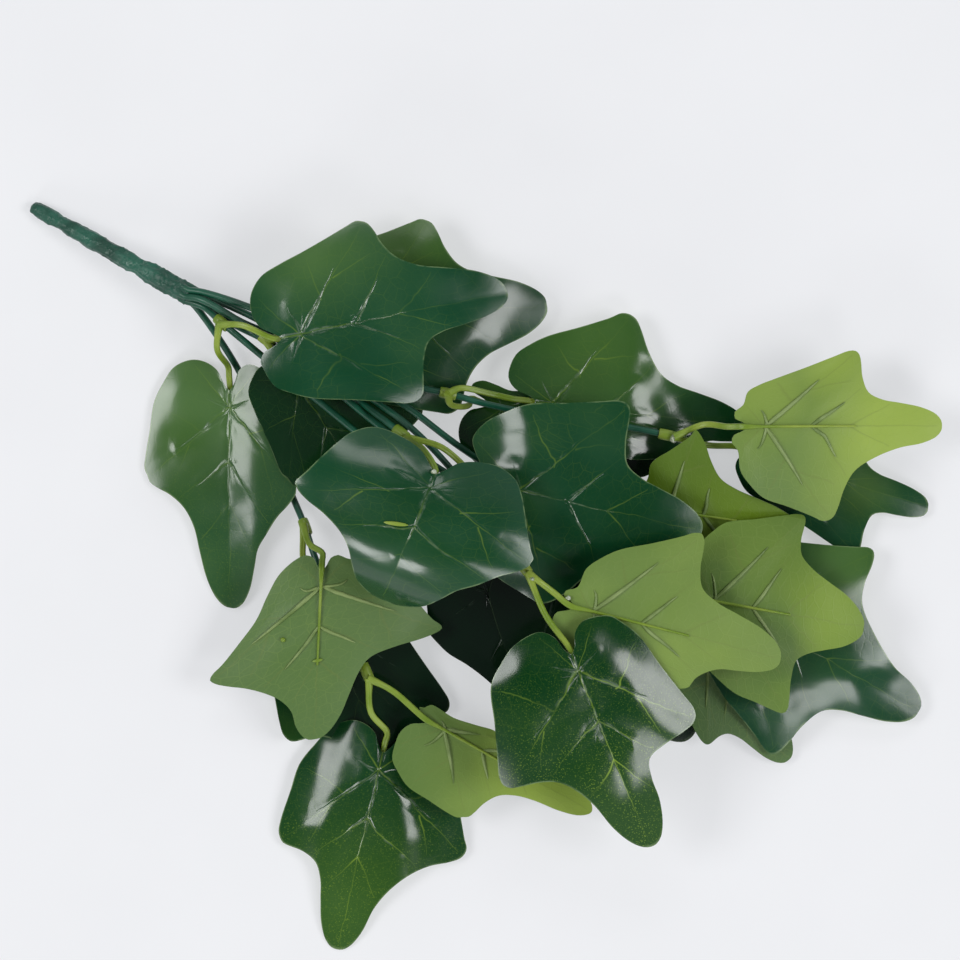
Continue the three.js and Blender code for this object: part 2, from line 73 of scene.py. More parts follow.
def blade(at, tip, droop, arch, left, right, roll=0, fold=(0, 0), underside=False, length=None):
    """A leaf's notch and tip, its bends in degrees, the places of its outline's marks on each
    half, and which way its back is: 1 for up."""
    return {"at": at, "tip": tip, "droop": droop, "arch": arch, "left": left, "right": right, "roll": roll,
            "fold": fold, "underside": underside, "back": 1 if underside else -1, "length": length}


LEAVES = {
    "A": blade((-74.7, 87.3, 33), (8.1, 104.3, 26), 24, 24,
        [(-0.09, 0.21), (0.17, 0.35), (0.44, 0.43), (0.56, 0.24)],
        [(-0.1, 0.12), (0.08, 0.28), (0.53, 0.38), (0.62, 0.14)], fold=(6, 2)),
    "B": blade((-52, 92.5, 19), (23.3, 100.3, 9), 14, 14,
        [(-0.1, 0.2), (0.14, 0.4), (0.455, 0.47), (0.58, 0.24)],
        [(-0.1, 0.2), (0.16, 0.4), (0.5, 0.48), (0.62, 0.27)]),
    "C": blade((-94.7, 68.8, 9), (-94.4, -12.2, 3), 14, 12,
        [(-0.11, 0.12), (0.14, 0.26), (0.44, 0.31), (0.66, 0.17)],
        [(-0.14, 0.18), (0.05, 0.35), (0.39, 0.38), (0.54, 0.21)], roll=4, fold=(4, -2)),
    "D": blade((-72.2, 76.2, 13), (-29.6, 11.5, 8), 12, 8,
        [(-0.1, 0.2), (0.16, 0.36), (0.5, 0.43), (0.6, 0.22)],
        [(-0.06, 0.17), (0.17, 0.26), (0.43, 0.29), (0.6, 0.2)], fold=(0, 2)),
    "F": blade((-18.1, 37.8, 54), (-37, -8.1, 32), 70, 20,
        [(-0.17, 0.22), (0, 0.37), (0.27, 0.47), (0.53, 0.31)],
        [(-0.12, 0.28), (0.18, 0.43), (0.4, 0.47), (0.55, 0.25)], fold=(4, 2), length=96),
    "G": blade((6.3, 32.9, 33), (79.6, 17, 27), 20, 16,
        [(-0.2, 0.2), (0.03, 0.42), (0.51, 0.53), (0.57, 0.24)],
        [(-0.1, 0.3), (0.09, 0.48), (0.33, 0.53), (0.59, 0.24)], roll=5, fold=(2, 0)),
    "H": blade((18.5, 64.4, 11), (96.9, 54.8, 7), 12, 10,
        [(-0.14, 0.12), (0.02, 0.31), (0.39, 0.46), (0.57, 0.2)],
        [(-0.1, 0.12), (0.14, 0.18), (0.59, 0.2), (0.8, 0.11)], fold=(2, 0)),
    "I": blade((96.2, 55.1, 28), (168, 55.5, 17), 12, 14,
        [(-0.02, 0.11), (0.14, 0.24), (0.56, 0.38), (0.62, 0.17)],
        [(-0.05, 0.12), (0.08, 0.36), (0.42, 0.48), (0.55, 0.225), (0.78, 0.11)], underside=True),
    "J": blade((62.9, 25.2, 17.3), (116.6, 17, 16.5), 10, 10,
        [(-0.08, 0.21), (0.02, 0.39), (0.19, 0.57), (0.4, 0.27)],
        [(-0.1, 0.2), (0.14, 0.34), (0.43, 0.4), (0.58, 0.2)], fold=(15, 1), underside=True),
    "K": blade((78.4, -7.8, 28), (139.1, -18.9, 21), 10, 14,
        [(-0.06, 0.22), (0.08, 0.47), (0.54, 0.6), (0.56, 0.36)],
        [(-0.02, 0.24), (0.32, 0.52), (0.64, 0.58), (0.64, 0.26)], underside=True),
    "L": blade((32.6, -10.7, 44), (107.9, -29.8, 36), 12, 12,
        [(-0.01, 0.09), (0.14, 0.31), (0.5, 0.48), (0.56, 0.23)],
        [(-0.06, 0.12), (0.28, 0.25), (0.58, 0.25), (0.67, 0.15)], underside=True),
    "M": blade((98.8, 45.9, 11), (163.2, 25.5, 0.4), 10, 8,
        [(-0.1, 0.2), (0.14, 0.34), (0.43, 0.36), (0.62, 0.12)],
        [(-0.03, 0.16), (0.25, 0.26), (0.7, 0.37), (0.72, 0.13)], fold=(3, 3)),
    "N": blade((87.7, -8.9, 15.8), (160.6, -50.3, 7), 14, 14,
        [(-0.1, 0.2), (0.17, 0.39), (0.47, 0.52), (0.54, 0.29), (0.8, 0.12)],
        [(-0.03, 0.15), (0.2, 0.36), (0.53, 0.49), (0.62, 0.21)], roll=-1),
    "O": blade((79.6, -23.7, 10.8), (112.1, -68.1, 3), 10, 6,
        PLAIN, [(-0.1, 0.2), (0.2, 0.34), (0.58, 0.38), (0.61, 0.22)], underside=True),
    "Q": blade((31.5, -28, 50), (60.6, -98, 24), 26, 20,
        [(-0.12, 0.15), (0.04, 0.32), (0.5, 0.42), (0.58, 0.15), (0.78, 0.12)],
        [(-0.15, 0.12), (0, 0.39), (0.47, 0.51), (0.54, 0.27), (0.7, 0.16)], roll=4, fold=(2, 2)),
    "R": blade((-59.9, 2.2, 26), (-62.9, -59.9, 15), 16, 14,
        [(-0.08, 0.14), (0.08, 0.5), (0.32, 0.73), (0.5, 0.3)],
        [(-0.06, 0.15), (0.31, 0.37), (0.7, 0.63), (0.75, 0.27), (0.84, 0.14)], underside=True),
    "S": blade((-37.7, -65.1, 10), (-54.8, -138.1, 0.4), 14, 10,
        [(-0.1, 0.2), (0.1, 0.4), (0.4, 0.51), (0.56, 0.26), (0.76, 0.13)],
        [(-0.12, 0.19), (0.15, 0.39), (0.53, 0.4), (0.6, 0.2)], fold=(2, 2)),
    "T": blade((-20.4, -53.3, 17), (39.2, -87, 10), 10, 10,
        [(-0.06, 0.05), (0.1, 0.08), (0.4, 0.12), (0.6, 0.12)],
        [(-0.1, 0.2), (0.07, 0.36), (0.41, 0.36), (0.52, 0.165), (0.7, 0.095)], underside=True),
    "U": blade((-61.8, -8.9, 9), (-33.3, -79.2, 3), 8, 6,
        [(-0.1, 0.2), (0.36, 0.34), (0.72, 0.4), (0.78, 0.2)],
        [(-0.1, 0.2), (0.2, 0.34), (0.57, 0.39), (0.64, 0.2)]),
    "V": blade((-1.9, 0.4, 9), (27.8, -69.9, 2.5), 10, 6,
        PLAIN, [(-0.1, 0.16), (0, 0.28), (0.18, 0.33), (0.49, 0.16)]),
    "W": blade((22.2, 5.2, 13), (75.9, -59.9, 4), 10, 8, PLAIN, PLAIN),
    "Y": blade((1.1, 63.3, 8), (62.9, 40, 2.5), 8, 6,
        [(-0.12, 0.08), (0.1, 0.12), (0.42, 0.3), (0.58, 0.18)], PLAIN),
}

# Each stem's turn round the bundle at the handle's end, None in its middle, and its centre line
STEMS = {
    1: (240, [[-105.5, 98, 9.5], [-90.7, 75.5, 5], [-79.6, 50.3, 4.6], [-71, 29.2, 5.5],
        [-66.6, 18.9, 10], [-62.2, 5.9, 13], [-51.8, -16.3, 14], [-42.6, -37.7, 15]]),
    2: (180, [[-103.6, 99.2, 16], [-97, 93.6, 20], [-79.6, 79.2, 22.5], [-64.8, 67.4, 22.5],
        [-47, 52.9, 22], [-24, 34.8, 20], [-5.6, 17.8, 17], [5.6, 5.9, 14]]),
    3: (120, [[-104.5, 101.9, 19], [-88.8, 92.9, 22], [-80.3, 86.9, 22.5],
        [-55.5, 68.8, 22.5], [-39.6, 55.9, 22], [-13, 37.4, 22], [20.4, 20.7, 21.5], [57.4, 11.5, 20.5]]),
    4: (None, [[-104.5, 101.8, 14], [-89, 93.4, 17], [-80.3, 89.5, 18.7], [-66, 80.8, 21.5],
        [-53.7, 73.2, 22.7], [-46, 68.3, 23.2], [-39, 63.5, 24], [-27, 54.5, 26], [-12.2, 39.2, 31],
        [3.7, 17, 37], [15.9, 1.5, 39]]),
    5: (300, [[-104.5, 100.7, 10.6], [-92, 92.6, 14], [-79.6, 86.2, 18.2], [-66, 76.2, 18.3],
        [-54, 68.6, 18.8], [-46.5, 64.7, 20.3], [-40, 59.8, 26.5], [-34, 55.2, 32], [-28.5, 51, 35]]),
    6: (60, [[-103.5, 104.5, 18], [-85.1, 98.4, 21.5], [-53.7, 83.6, 23], [-24, 69.6, 20.5],
        [-13.7, 67.3, 19.5], [1.1, 63.3, 18.8], [27.8, 58.1, 17.5], [53.7, 54.8, 16.5], [69.9, 51.4, 16]]),
    7: (0, [[-104, 104, 14.6], [-85.1, 95.3, 18], [-53.7, 77.2, 22.5], [-31.5, 64.3, 21.5],
        [-9.3, 47.7, 19], [20.4, 28.1, 17], [50, 5.9, 17], [79.6, -8.9, 17.5]]),
}

# Each clip's crown over its stem, and the points that its arms run through to their leaves
CLIPS = {
    1: ((-97.6, 92.6, 22.9), {"A": [[-89, 92.2, 29]], "C": [[-98.5, 84, 21]]}),
    2: ((-80.3, 86.4, 25.4), {
        "B": [[-72, 89.5, 27.5], [-64, 92, 26.5]], "D": [[-77, 81.4, 25.5], [-75.7, 79.6, 19]]}),
    3: ((-66.8, 18.9, 13.3), {"R": [[-64.5, 12, 20]], "U": [[-67, 6, 12]]}),
    4: ((-13.7, 67.1, 23.3), {
        "H": [[-9, 69.3, 19], [3, 67, 13.5]], "Y": [[-12.5, 63.2, 19], [-6, 63, 13]]}),
    5: ((-28.6, 51, 36.9), {"F": [[-22, 46, 47]], "G": [[-16, 47.5, 38]]}),
    6: ((15.6, 1.6, 41.8), {"L": [[25, -5.5, 45]], "Q": [[22.2, -14, 46]]}),
    7: ((69.6, 51.3, 19), {"I": [[80, 55.8, 19.5]], "M": [[82, 48.3, 14]]}),
    8: ((57, 11.5, 23.8), {"J": [[60, 18, 20]], "K": [[68, 2, 26]]}),
    9: ((79.3, -8.9, 20.45), {"N": [[83.5, -7, 19]], "O": [[74.5, -11, 18.5], [72, -15, 13]]}),
    10: ((-42.7, -37.5, 17.8), {"S": [[-42, -50, 15]], "T": [[-34, -42, 20]]}),
    11: ((5.4, 6, 17.6), {"V": [[1, 6, 15]], "W": [[14, 8, 16]]}),
}

UP = np.array([0.0, 0.0, 1.0])
SHARP = math.radians(50)


# Shapes

def unit(v):
    return v / norm(v)


def blunted(points, i):
    """The same points with one more on each side of a corner, so that it ends blunt."""
    before, corner, after = points[i - 1:i + 2]
    outward = unit(corner - (before + after) / 2)
    beside = [corner + (point - corner) * CORNER_REACH
              + outward * norm(point - corner) * CORNER_BULGE for point in (before, after)]
    return np.array([*points[:i], beside[0], corner, beside[1], *points[i + 1:]])


def half_outline(own):
    """One side of a leaf's outline with its own back, side, lobe, hollow and neck."""
    marks = [0, *MARKS[:len(own)], len(HALF_OUTLINE) - 1]
    places = [HALF_OUTLINE[0], *own, HALF_OUTLINE[-1]]
    shifts = [np.subtract(place, HALF_OUTLINE[mark]) for place, mark in zip(places, marks)]
    points = []
    for i, point in enumerate(HALF_OUTLINE):
        k = max(1, next(j for j, mark in enumerate(marks) if mark >= i))
        part = (i - marks[k - 1]) / (marks[k] - marks[k - 1])
        share = part * part if k == 1 else part
        points.append(np.add(point, shifts[k - 1] + (shifts[k] - shifts[k - 1]) * share))
    return blunted(np.array(points), LOBE)


def round_outline(left, right):
    joined_up = np.array([*left, *(right[1:-1][::-1] * (1, -1))])
    return blunted(joined_up, len(left) - 1)


def closed_curve(points, counts):
    """A smooth closed curve through points, with its own number of steps in each span."""
    made = []
    total = len(points)
    for i, count in enumerate(counts):
        a, b, c, d = (points[(i + k) % total] for k in (-1, 0, 1, 2))
        gaps = [max(norm(q - p), 1e-6) ** 0.5 for p, q in ((a, b), (b, c), (c, d))]
        t0, t1 = -gaps[0], gaps[1]
        t2 = gaps[1] + gaps[2]
        for t in np.arange(count) / count * gaps[1]:
            ab = (a * (0 - t) + b * (t - t0)) / (0 - t0)
            bc = (b * (t1 - t) + c * t) / t1
            cd = (c * (t2 - t) + d * (t - t1)) / (t2 - t1)
            abc = (ab * (t1 - t) + bc * (t - t0)) / (t1 - t0)
            bcd = (bc * (t2 - t) + cd * t) / t2
            made.append((abc * (t1 - t) + bcd * t) / t1)
    return np.array(made)


def leaf_surface(row):
    """The leaf's middle surface, from shares of its length along and out."""
    at, tip = np.array(row["at"], float), np.array(row["tip"], float)
    droop = math.radians(row["droop"])
    chord = norm(tip - at)
    bent = math.sin(droop / 2) / (droop / 2)
    length = row["length"] or chord / bent
    reach = chord / (length * bent)
    ahead = unit(tip - at)
    across = unit(np.cross(UP, ahead))
    roll = math.radians(row["roll"])
    across = across * math.cos(roll) + np.cross(ahead, across) * math.sin(roll)
    lift = np.cross(ahead, across)
    arch = math.radians(row["arch"]) / (WIDEST * length)

    def shape(share, out):
        share, out = np.atleast_1d(share).astype(float), np.atleast_1d(out).astype(float)
        angle = droop * (0.5 - share)
        back = (math.sin(droop / 2) - np.sin(angle)) / droop
        rise = (np.cos(angle) - math.cos(droop / 2)) / droop
        half = np.abs(out) * length
        fold = np.radians(np.where(out >= 0, row["fold"][0], row["fold"][1]))
        wide = (np.sin(fold) - np.sin(fold - arch * half)) / arch
        high = (np.cos(fold - arch * half) - np.cos(fold)) / arch
        forward = back * length * reach - high * np.sin(angle)
        up = rise * length + high * np.cos(angle)
        return (at + forward[:, None] * ahead + up[:, None] * lift
                + (np.sign(out) * wide)[:, None] * across)

    return shape, length


def normals(shape, share, out):
    step = 0.004
    along = shape(share + step, out) - shape(share - step, out)
    across = shape(share, out + step) - shape(share, out - step)
    normal = np.cross(along, across)
    return normal / norm(normal, axis=1)[:, None]


def band(a, b, count):
    """Faces between two closed rings of points that start at a and b."""
    ring = np.arange(count)
    after = (ring + 1) % count
    return np.stack([a + ring, a + after, b + after, b + ring], 1).tolist()


def fan(centre, start, count, turned=False):
    """Faces between one point and a closed ring of points."""
    ring = start + np.arange(count)
    after = np.roll(ring, -1)
    pair = (ring, after) if turned else (after, ring)
    return np.stack([np.full(count, centre), *pair], 1).tolist()


def tube_faces(rings, sides):
    """A closed tube's faces, where its two end points follow its rings."""
    faces = []
    for i in range(rings - 1):
        faces.extend(band(i * sides, (i + 1) * sides, sides))
    faces.extend(fan(rings * sides, 0, sides))
    return faces + fan(rings * sides + 1, (rings - 1) * sides, sides, turned=True)


def mesh_piece(solid, points, faces, materials, which=None, uv=None, values=None):
    """A mesh in metres from points in millimetres, in place of one solid and riding with the part."""
    name = f"ivy_{solid}"
    mesh = bpy.data.meshes.new(name)
    mesh.from_pydata((np.asarray(points) * MM).tolist(), [], [tuple(f) for f in faces])
    for material in materials:
        mesh.materials.append(material)
    if which is not None:
        mesh.polygons.foreach_set("material_index", np.asarray(which, np.int32))
    if uv is not None:
        layer = mesh.uv_layers.new(name="leaf")
        corners = np.zeros(len(mesh.loops), np.int32)
        mesh.loops.foreach_get("vertex_index", corners)
        layer.data.foreach_set("uv", np.asarray(uv, np.float32)[corners].ravel())
    for key, value in (values or {}).items():
        data = mesh.attributes.new(key, "FLOAT", "POINT")
        data.data.foreach_set("value", np.asarray(value, np.float32))
    mesh.polygons.foreach_set("use_smooth", np.ones(len(mesh.polygons), bool))
    mesh.set_sharp_from_angle(angle=SHARP)
    mesh.update()
    piece = bpy.data.objects.new(name, mesh)
    bpy.context.scene.collection.objects.link(piece)
    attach(piece, "root")
    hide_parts(solid)


# Leaves

# Veins on one half of a leaf in shares of its length: from, to, width and depth in mm
JUNCTION = (0.08, 0.0)
VEINS = [
    ((0.0, 0.0), (0.97, 0.0), 1.1, 0.5),
    (JUNCTION, (0.42, 0.4), 1.0, 0.42),
    (JUNCTION, (-0.07, 0.19), 0.8, 0.3),
    ((0.33, 0.0), (0.53, 0.23), 0.8, 0.3),
    ((0.52, 0.0), (0.7, 0.13), 0.7, 0.22),
    ((0.2, 0.13), (0.17, 0.33), 0.6, 0.16),
    ((0.27, 0.21), (0.46, 0.27), 0.6, 0.16),
]
VEIN_SHARE = 0.3
# Moulded ribs on the back of each half, the same way: they press the creases in the front
RIBS = [
    ((0.0, 0.0), (0.55, 0.0), 1.1, 0.7),
    ((0.09, 0.0), (0.29, 0.27), 1.1, 0.6),
    ((0.32, 0.0), (0.47, 0.15), 0.9, 0.45),
    ((0.09, 0.0), (0.06, 0.13), 0.7, 0.3),
]
RIB_RADIUS = 0.76
RIB_STEPS = 18
RINGS = 40
RIM_STEP = 1.35
# Each leaf's own net, the plain leaf's and how far it lies off its smooth surface, as built
RELIEFS = {}
# How the plain leaf lies in the texture's square
TEXTURE = 0.7
TEXTURE_AT = (0.15, 0.5)


def look(wave, light=(), bends=(), press=1, teal_sheen_and_lime=0, crumple=0.15, dark=0, speckle=0):
    """How one leaf looks: how strongly it waves, in mm, and where it is lighter or darker, as (along,
    out, reach, amount) in shares of its length: paler patches and tips of the leaf, some of them painted
    sheen, and painted shade where the amount is below 0. Its soft bends are a place on the line of the
    bend, the way down in degrees from the midrib, softness and drop in mm. Then come how strongly the
    ribs press through, its teal and lime (a painted teal sheen on top, the leaf's own lime beneath), how
    uneven its bends are, how dark it is all over, painted shade for leaves that lie in shade, and its
    yellow flecks."""
    return {"wave": wave, "light": light, "bends": bends, "press": press, "teal_sheen_and_lime": teal_sheen_and_lime,
            "crumple": crumple, "dark": dark, "speckle": speckle}


# Painted light in these looks: the lighter spots on A, B, M and N are painted sheen, the spots below 0 on K
# painted shade, and dark on D, O, U, V and W painted shade where these leaves lie in shade
LOOKS = {
    "A": look(0.5, [(0.2, 0.35, 0.25, 0.8)], [(0.05, 0.16, 148, 2.2, 0.8)], press=1.4, teal_sheen_and_lime=1),
    "B": look(0.9, [(0.35, 0.4, 0.35, 1.1)],
        [(0.62, -0.16, -38, 3.2, 2.2), (0.35, 0.38, 84, 5.0, 1.6)], teal_sheen_and_lime=0.6),
    "C": look(0.5, [(0.1, -0.25, 0.48, 1.0), (0.9, 0, 0.4, 0.4)], [
        (0.41, 0.1, -90, 2.8, 1.2), (0.8, 0.05, -90, 2.6, 1.6), (0.3, -0.2, -90, 5.0, -1.5)],
        teal_sheen_and_lime=1, crumple=0.5, speckle=0.25),
    "D": look(0.5, press=0.4, dark=0.3),
    "F": look(0.3, [(0.6, 0, 0.4, 0.15)], [(0.3, -0.43, -90, 4.0, -3.0)], teal_sheen_and_lime=1),
    "G": look(0.6, [],
        [(0.03, 0.09, -168, 3.2, 3.2), (0.27, -0.24, -83, 2.4, 1.2)], teal_sheen_and_lime=0.7, crumple=0.8),
    "H": look(0.7, [(0.25, 0.3, 0.4, 0.95)],
        [(0.48, 0.1, 7, 2.4, 2.5), (0.63, 0.08, 27, 2.0, 1.5)], teal_sheen_and_lime=0.4, crumple=0.8),
    "I": look(0.7, [(0.85, 0, 0.5, 1.2), (0.1, 0.2, 0.35, 0.6), (0.45, 0.35, 0.3, 0.8)]),
    "J": look(0.5, [(0.6, 0, 0.4, 0.35)], teal_sheen_and_lime=1, dark=0.1),
    "K": look(0.8, [(0.8, 0, 0.4, 0.55), (0.5, -0.2, 0.2, -0.6), (0.05, 0.1, 0.15, -0.3)], teal_sheen_and_lime=0.5),
    "L": look(0.7, [(0.7, 0, 0.6, 0.2)], dark=-0.15),
    "M": look(0.3, [(0.63, -0.02, 0.14, 1.0)], [(0.75, -0.05, -20, 6.0, -2.4)], teal_sheen_and_lime=0.6),
    "N": look(0.7, [(0.37, 0.42, 0.22, 1.1)], [(0.64, -0.09, -42, 2.8, 2.3)], teal_sheen_and_lime=0.8, crumple=0.6),
    "O": look(0.4, dark=0.5),
    "Q": look(0.55, [(0.9, 0, 0.4, 0.4)], [
        (0.15, 0.21, 112, 3.2, 3.4), (-0.08, -0.18, -168, 2.8, 2.4), (0.35, -0.3, -112, 3.5, -2.0),
        (0.5, 0.1, 10, 5.0, -2.0)], speckle=1),
    "R": look(0.8, [(0.5, 0.1, 0.4, 0.15)], dark=0.15),
    "S": look(0.9, [(0.8, 0, 0.45, 0.8)], [
        (0.24, -0.24, -91, 2.6, 3.0), (0.25, 0.18, 111, 2.3, 2.8), (-0.05, -0.1, -87, 1.6, 0.9)],
        teal_sheen_and_lime=0.3, speckle=0.6),
    "T": look(0.7, [(1, 0, 0.6, 1.25), (0.35, -0.1, 0.3, 0.3)], teal_sheen_and_lime=0.15),
    "U": look(0.5, [(0.55, -0.4, 0.25, 1.0)], press=0.5, dark=0.7),
    "V": look(0.4, press=0.5, dark=0.8),
    "W": look(0.4, press=0.5, dark=0.8),
    "Y": look(0.5, [(0, 0.1, 0.2, 0.8)], dark=0.3),
}


def distance_to(start, end, share, out):
    """How far points are from a line, and how far along it, in shares."""
    a, b = np.array(start), np.array(end)
    p = np.stack([share, out], axis=1)
    along = np.clip((p - a) @ (b - a) / ((b - a) @ (b - a)), 0, 1)
    return norm(p - a - along[:, None] * (b - a), axis=1), along


def relief(lines, share, out, length):
    """Depth of creases along lines in mm, soft on each line and fading to its end."""
    depth = np.zeros(len(share))
    for start, end, width, deep in lines:
        away, along = distance_to(start, end, share, np.abs(out))
        cusp = np.exp(-np.sqrt((away * length) ** 2 + 0.09) / width)
        depth = np.maximum(depth, deep * (1 - 0.8 * along ** 2) * cusp)
    return depth


def leaf_nets(row, length):
    """The leaf's places from the veins' junction to its rim, ring by ring, as shares along and
    out, the same on a plain leaf, how near the rim each lies, and how many make a ring."""
    own = round_outline(half_outline(row["left"]), half_outline(row["right"]))
    plain = round_outline(half_outline([]), half_outline([]))
    spans = norm(np.roll(own, -1, axis=0) - own, axis=1) * length
    counts = np.maximum(2, np.round(spans / RIM_STEP)).astype(int)
    centre = np.array(JUNCTION)
    scales = (np.arange(1, RINGS + 1) / RINGS) ** 0.9
    nets = []
    for outline in (own, plain):
        rim = closed_curve(outline, counts)
        nets.append(np.vstack([centre, *[centre + (rim - centre) * s for s in scales]]))
    return (*nets, np.concatenate([[0], np.repeat(scales, len(rim))]), len(rim))


def rib_strengths(name):
    """How strongly each rib presses through, on the left and right of the midrib."""
    seed = np.random.default_rng(ord(name) * 13)
    strong = seed.uniform(0.35, 1.0, (len(RIBS), 2))
    strong[0] = 0.9
    return strong


def creases(name, flat, length):
    """Depth of the creases along ribs and veins in mm, and how strong the nearest rib is."""
    along, out = flat.T
    fold = np.zeros(len(flat))
    nearest = np.full(len(flat), np.inf)
    for (start, end, _, _), pair in zip(RIBS, rib_strengths(name) * LOOKS[name]["press"]):
        for side, amount in zip((1, -1), pair):
            away, _ = distance_to(start, end, along, out * side)
            fold = np.where(away < nearest, amount, fold)
            nearest = np.minimum(away, nearest)
    sink = relief(RIBS, along, out, length) * fold * (1 + 0.35 * np.sin(38 * along + 9 * out + ord(name)))
    return np.maximum(sink, relief(VEINS, along, out, length) * VEIN_SHARE), fold


def waves(name, net, flat, share_out, length):
    """Slow waves toward the rim, soft pillows that fade at the rim and soft bends, in mm off the surface.
    """
    own = LOOKS[name]
    phases = np.random.default_rng(ord(name) * 7).uniform(0, 2 * math.pi, 4)
    turn = np.arctan2(flat[:, 1], flat[:, 0] - 0.3)
    wave = (np.sin(2 * turn + phases[0]) + 0.7 * np.sin(3 * turn + phases[1])
            + 0.5 * np.sin(5 * turn + phases[2])) * share_out ** 2
    swell = np.sin(9 * flat[:, 0] + phases[3]) * np.cos(11 * flat[:, 1] + phases[0]) * 0.25
    level = own["wave"] * 0.5 * wave + swell * np.minimum(1, (1 - share_out) * 4)
    for along, out, way, soft, drop in own["bends"]:
        way = math.radians(way)
        past = ((net[:, 0] - along) * math.cos(way) + (net[:, 1] - out) * math.sin(way)) * length
        aside = (net[:, 1] - out) * math.cos(way) - (net[:, 0] - along) * math.sin(way)
        past = past + own["crumple"] * (
            1.5 * np.sin(17 * aside + phases[1]) + 0.8 * np.sin(41 * aside + phases[2]))
        level = level - drop / (1 + np.exp(-past / soft))
    return level


def tones(own, net):
    """How much lighter each place is, as paler leaf colour and painted sheen, or darker where it is below
    0, as painted shade.
    """
    tone = np.zeros(len(net))
    for along, out, reach, amount in own["light"]:
        away = np.hypot(net[:, 0] - along, net[:, 1] - out)
        spot = amount * np.exp(-(away / reach) ** 2)
        tone = np.maximum(tone, spot) if amount > 0 else tone + spot
    return tone - own["dark"]


def leaf(name, row, materials):
    own = LOOKS[name]
    shape, length = leaf_surface(row)
    net, flat, share_out, around = leaf_nets(row, length)
    sink, fold = creases(name, flat, length)
    level = waves(name, net, flat, share_out, length) + row["back"] * sink
    RELIEFS[name] = (net, flat, level)

    middle = shape(net[:, 0], net[:, 1])
    normal = normals(shape, net[:, 0], net[:, 1])
    top = middle + normal * (level + BLADE / 2)[:, None]
    under = middle + normal * (level - BLADE / 2)[:, None]
    faces = fan(0, 1, around)
    for r in range(RINGS - 1):
        faces.extend(band(1 + r * around, 1 + (r + 1) * around, around))
    count, face_up = len(net), len(faces)
    faces.extend([[count + i for i in reversed(face)] for face in list(faces)])
    last = 1 + (RINGS - 1) * around
    faces.extend(band(last, count + last, around))

    front, back = (1, 0) if row["underside"] else (0, 1)
    which = [front] * face_up + [back] * face_up + [2] * around
    uv = flat * TEXTURE + np.array(TEXTURE_AT)
    mesh_piece(
        f"leaf_{name}", np.vstack([top, under]), faces,
        materials, which, np.vstack([uv, uv]), {
            "tone": np.tile(tones(own, net), 2),
            "fold": np.tile(fold, 2),
            "rim": np.tile(share_out ** 30, 2),
            "speckle": np.tile(own["speckle"] * np.clip(0.25 + net[:, 0], 0, 1), 2),
            "teal_sheen_and_lime": np.full(2 * count, own["teal_sheen_and_lime"]),
        })


# Stems, clips and handle

# Half the width and height of a clip's arm, its groove, and how far its ribs' middles lie off
# a blade's back that faces down or up, in mm
ARM_WIDE = 1.15
ARM_HIGH = 0.95
ARM_GROOVE = 0.42
RIB_LIFTS = (0.5, 0.25)
SPAN_STEPS = 20
NEIGHBOURS = 6


def open_curve(points, step):
    """Even steps along a smooth open curve through points."""
    points = np.array(points, float)
    padded = np.vstack([2 * points[0] - points[1], points, 2 * points[-1] - points[-2]])
    spans = [SPAN_STEPS] * (len(points) - 1)
    looped = closed_curve(list(padded), [1, *spans, 1, 1])
    dense = np.vstack([looped[1:1 + sum(spans)], points[-1]])
    run = np.concatenate([[0], np.cumsum(norm(np.diff(dense, axis=0), axis=1))])
    count = max(2, round(run[-1] / step))
    even = np.linspace(0, run[-1], count + 1)
    return np.stack([np.interp(even, run, dense[:, k]) for k in range(3)], axis=1)


def frames(points):
    """Directions sideways and up at each point of a path, without twists."""
    before = np.vstack([points[:1], points[:-1]])
    after = np.vstack([points[1:], points[-1:]])
    ahead = (after - before) / norm(after - before, axis=1)[:, None]
    ups = []
    up = UP
    for t in ahead:
        wish = UP - t * (UP @ t)
        lean = norm(wish)
        up = up - t * (up @ t)
        up = unit(up) if lean < 0.35 else unit(up * 0.6 + wish / lean)
        ups.append(up)
    ups = np.array(ups)
    return np.cross(ahead, ups), ups


def sweep(points, sections):
    """A closed tube: one section of [sideways, up] offsets at each point."""
    side, up = frames(points)
    rings = (points[:, None] + side[:, None] * sections[:, :, :1] + up[:, None] * sections[:, :, 1:])
    verts = np.vstack([rings.reshape(-1, 3), rings[0].mean(axis=0), rings[-1].mean(axis=0)])
    return verts, tube_faces(len(points), sections.shape[1])


def turns(sides):
    """Angles of even steps once round."""
    return np.arange(sides) / sides * 2 * math.pi


def sections_of(wide, high, groove=0, sides=18):
    """Round or oval sections, some with a groove on top, in mm for each point of the path."""
    x, y = np.cos(turns(sides)), np.sin(turns(sides))
    dip = np.exp(-(x / 0.42) ** 2) * np.maximum(y, 0)
    return np.stack([np.outer(wide, x), np.outer(high, y) - np.outer(groove + 0 * wide, dip)], axis=2)


def joined(parts):
    """Several closed shells as one list of points, faces and material numbers."""
    verts, faces, which = [], [], []
    count = 0
    for points, shell, material in parts:
        verts.append(points)
        faces.extend([[count + i for i in face] for face in shell])
        which.extend([material] * len(shell))
        count += len(points)
    return np.vstack(verts), faces, which


HANDLE_AXIS = unit(np.subtract(HANDLE_END, HANDLE_TIP))
HANDLE_SIDE = unit(np.cross(UP, HANDLE_AXIS))
HANDLE_RISE = np.cross(HANDLE_AXIS, HANDLE_SIDE)


def stem_path(turn, path, step):
    out = 0 if turn is None else STEM_RING
    angle = math.radians(turn or 0)
    root = (np.array(HANDLE_END) + HANDLE_AXIS * GAP
            + HANDLE_SIDE * out * math.cos(angle) + HANDLE_RISE * out * math.sin(angle))
    ahead = root + HANDLE_AXIS * STEM_STRAIGHT
    return np.vstack([root, open_curve([ahead, *path], step)])


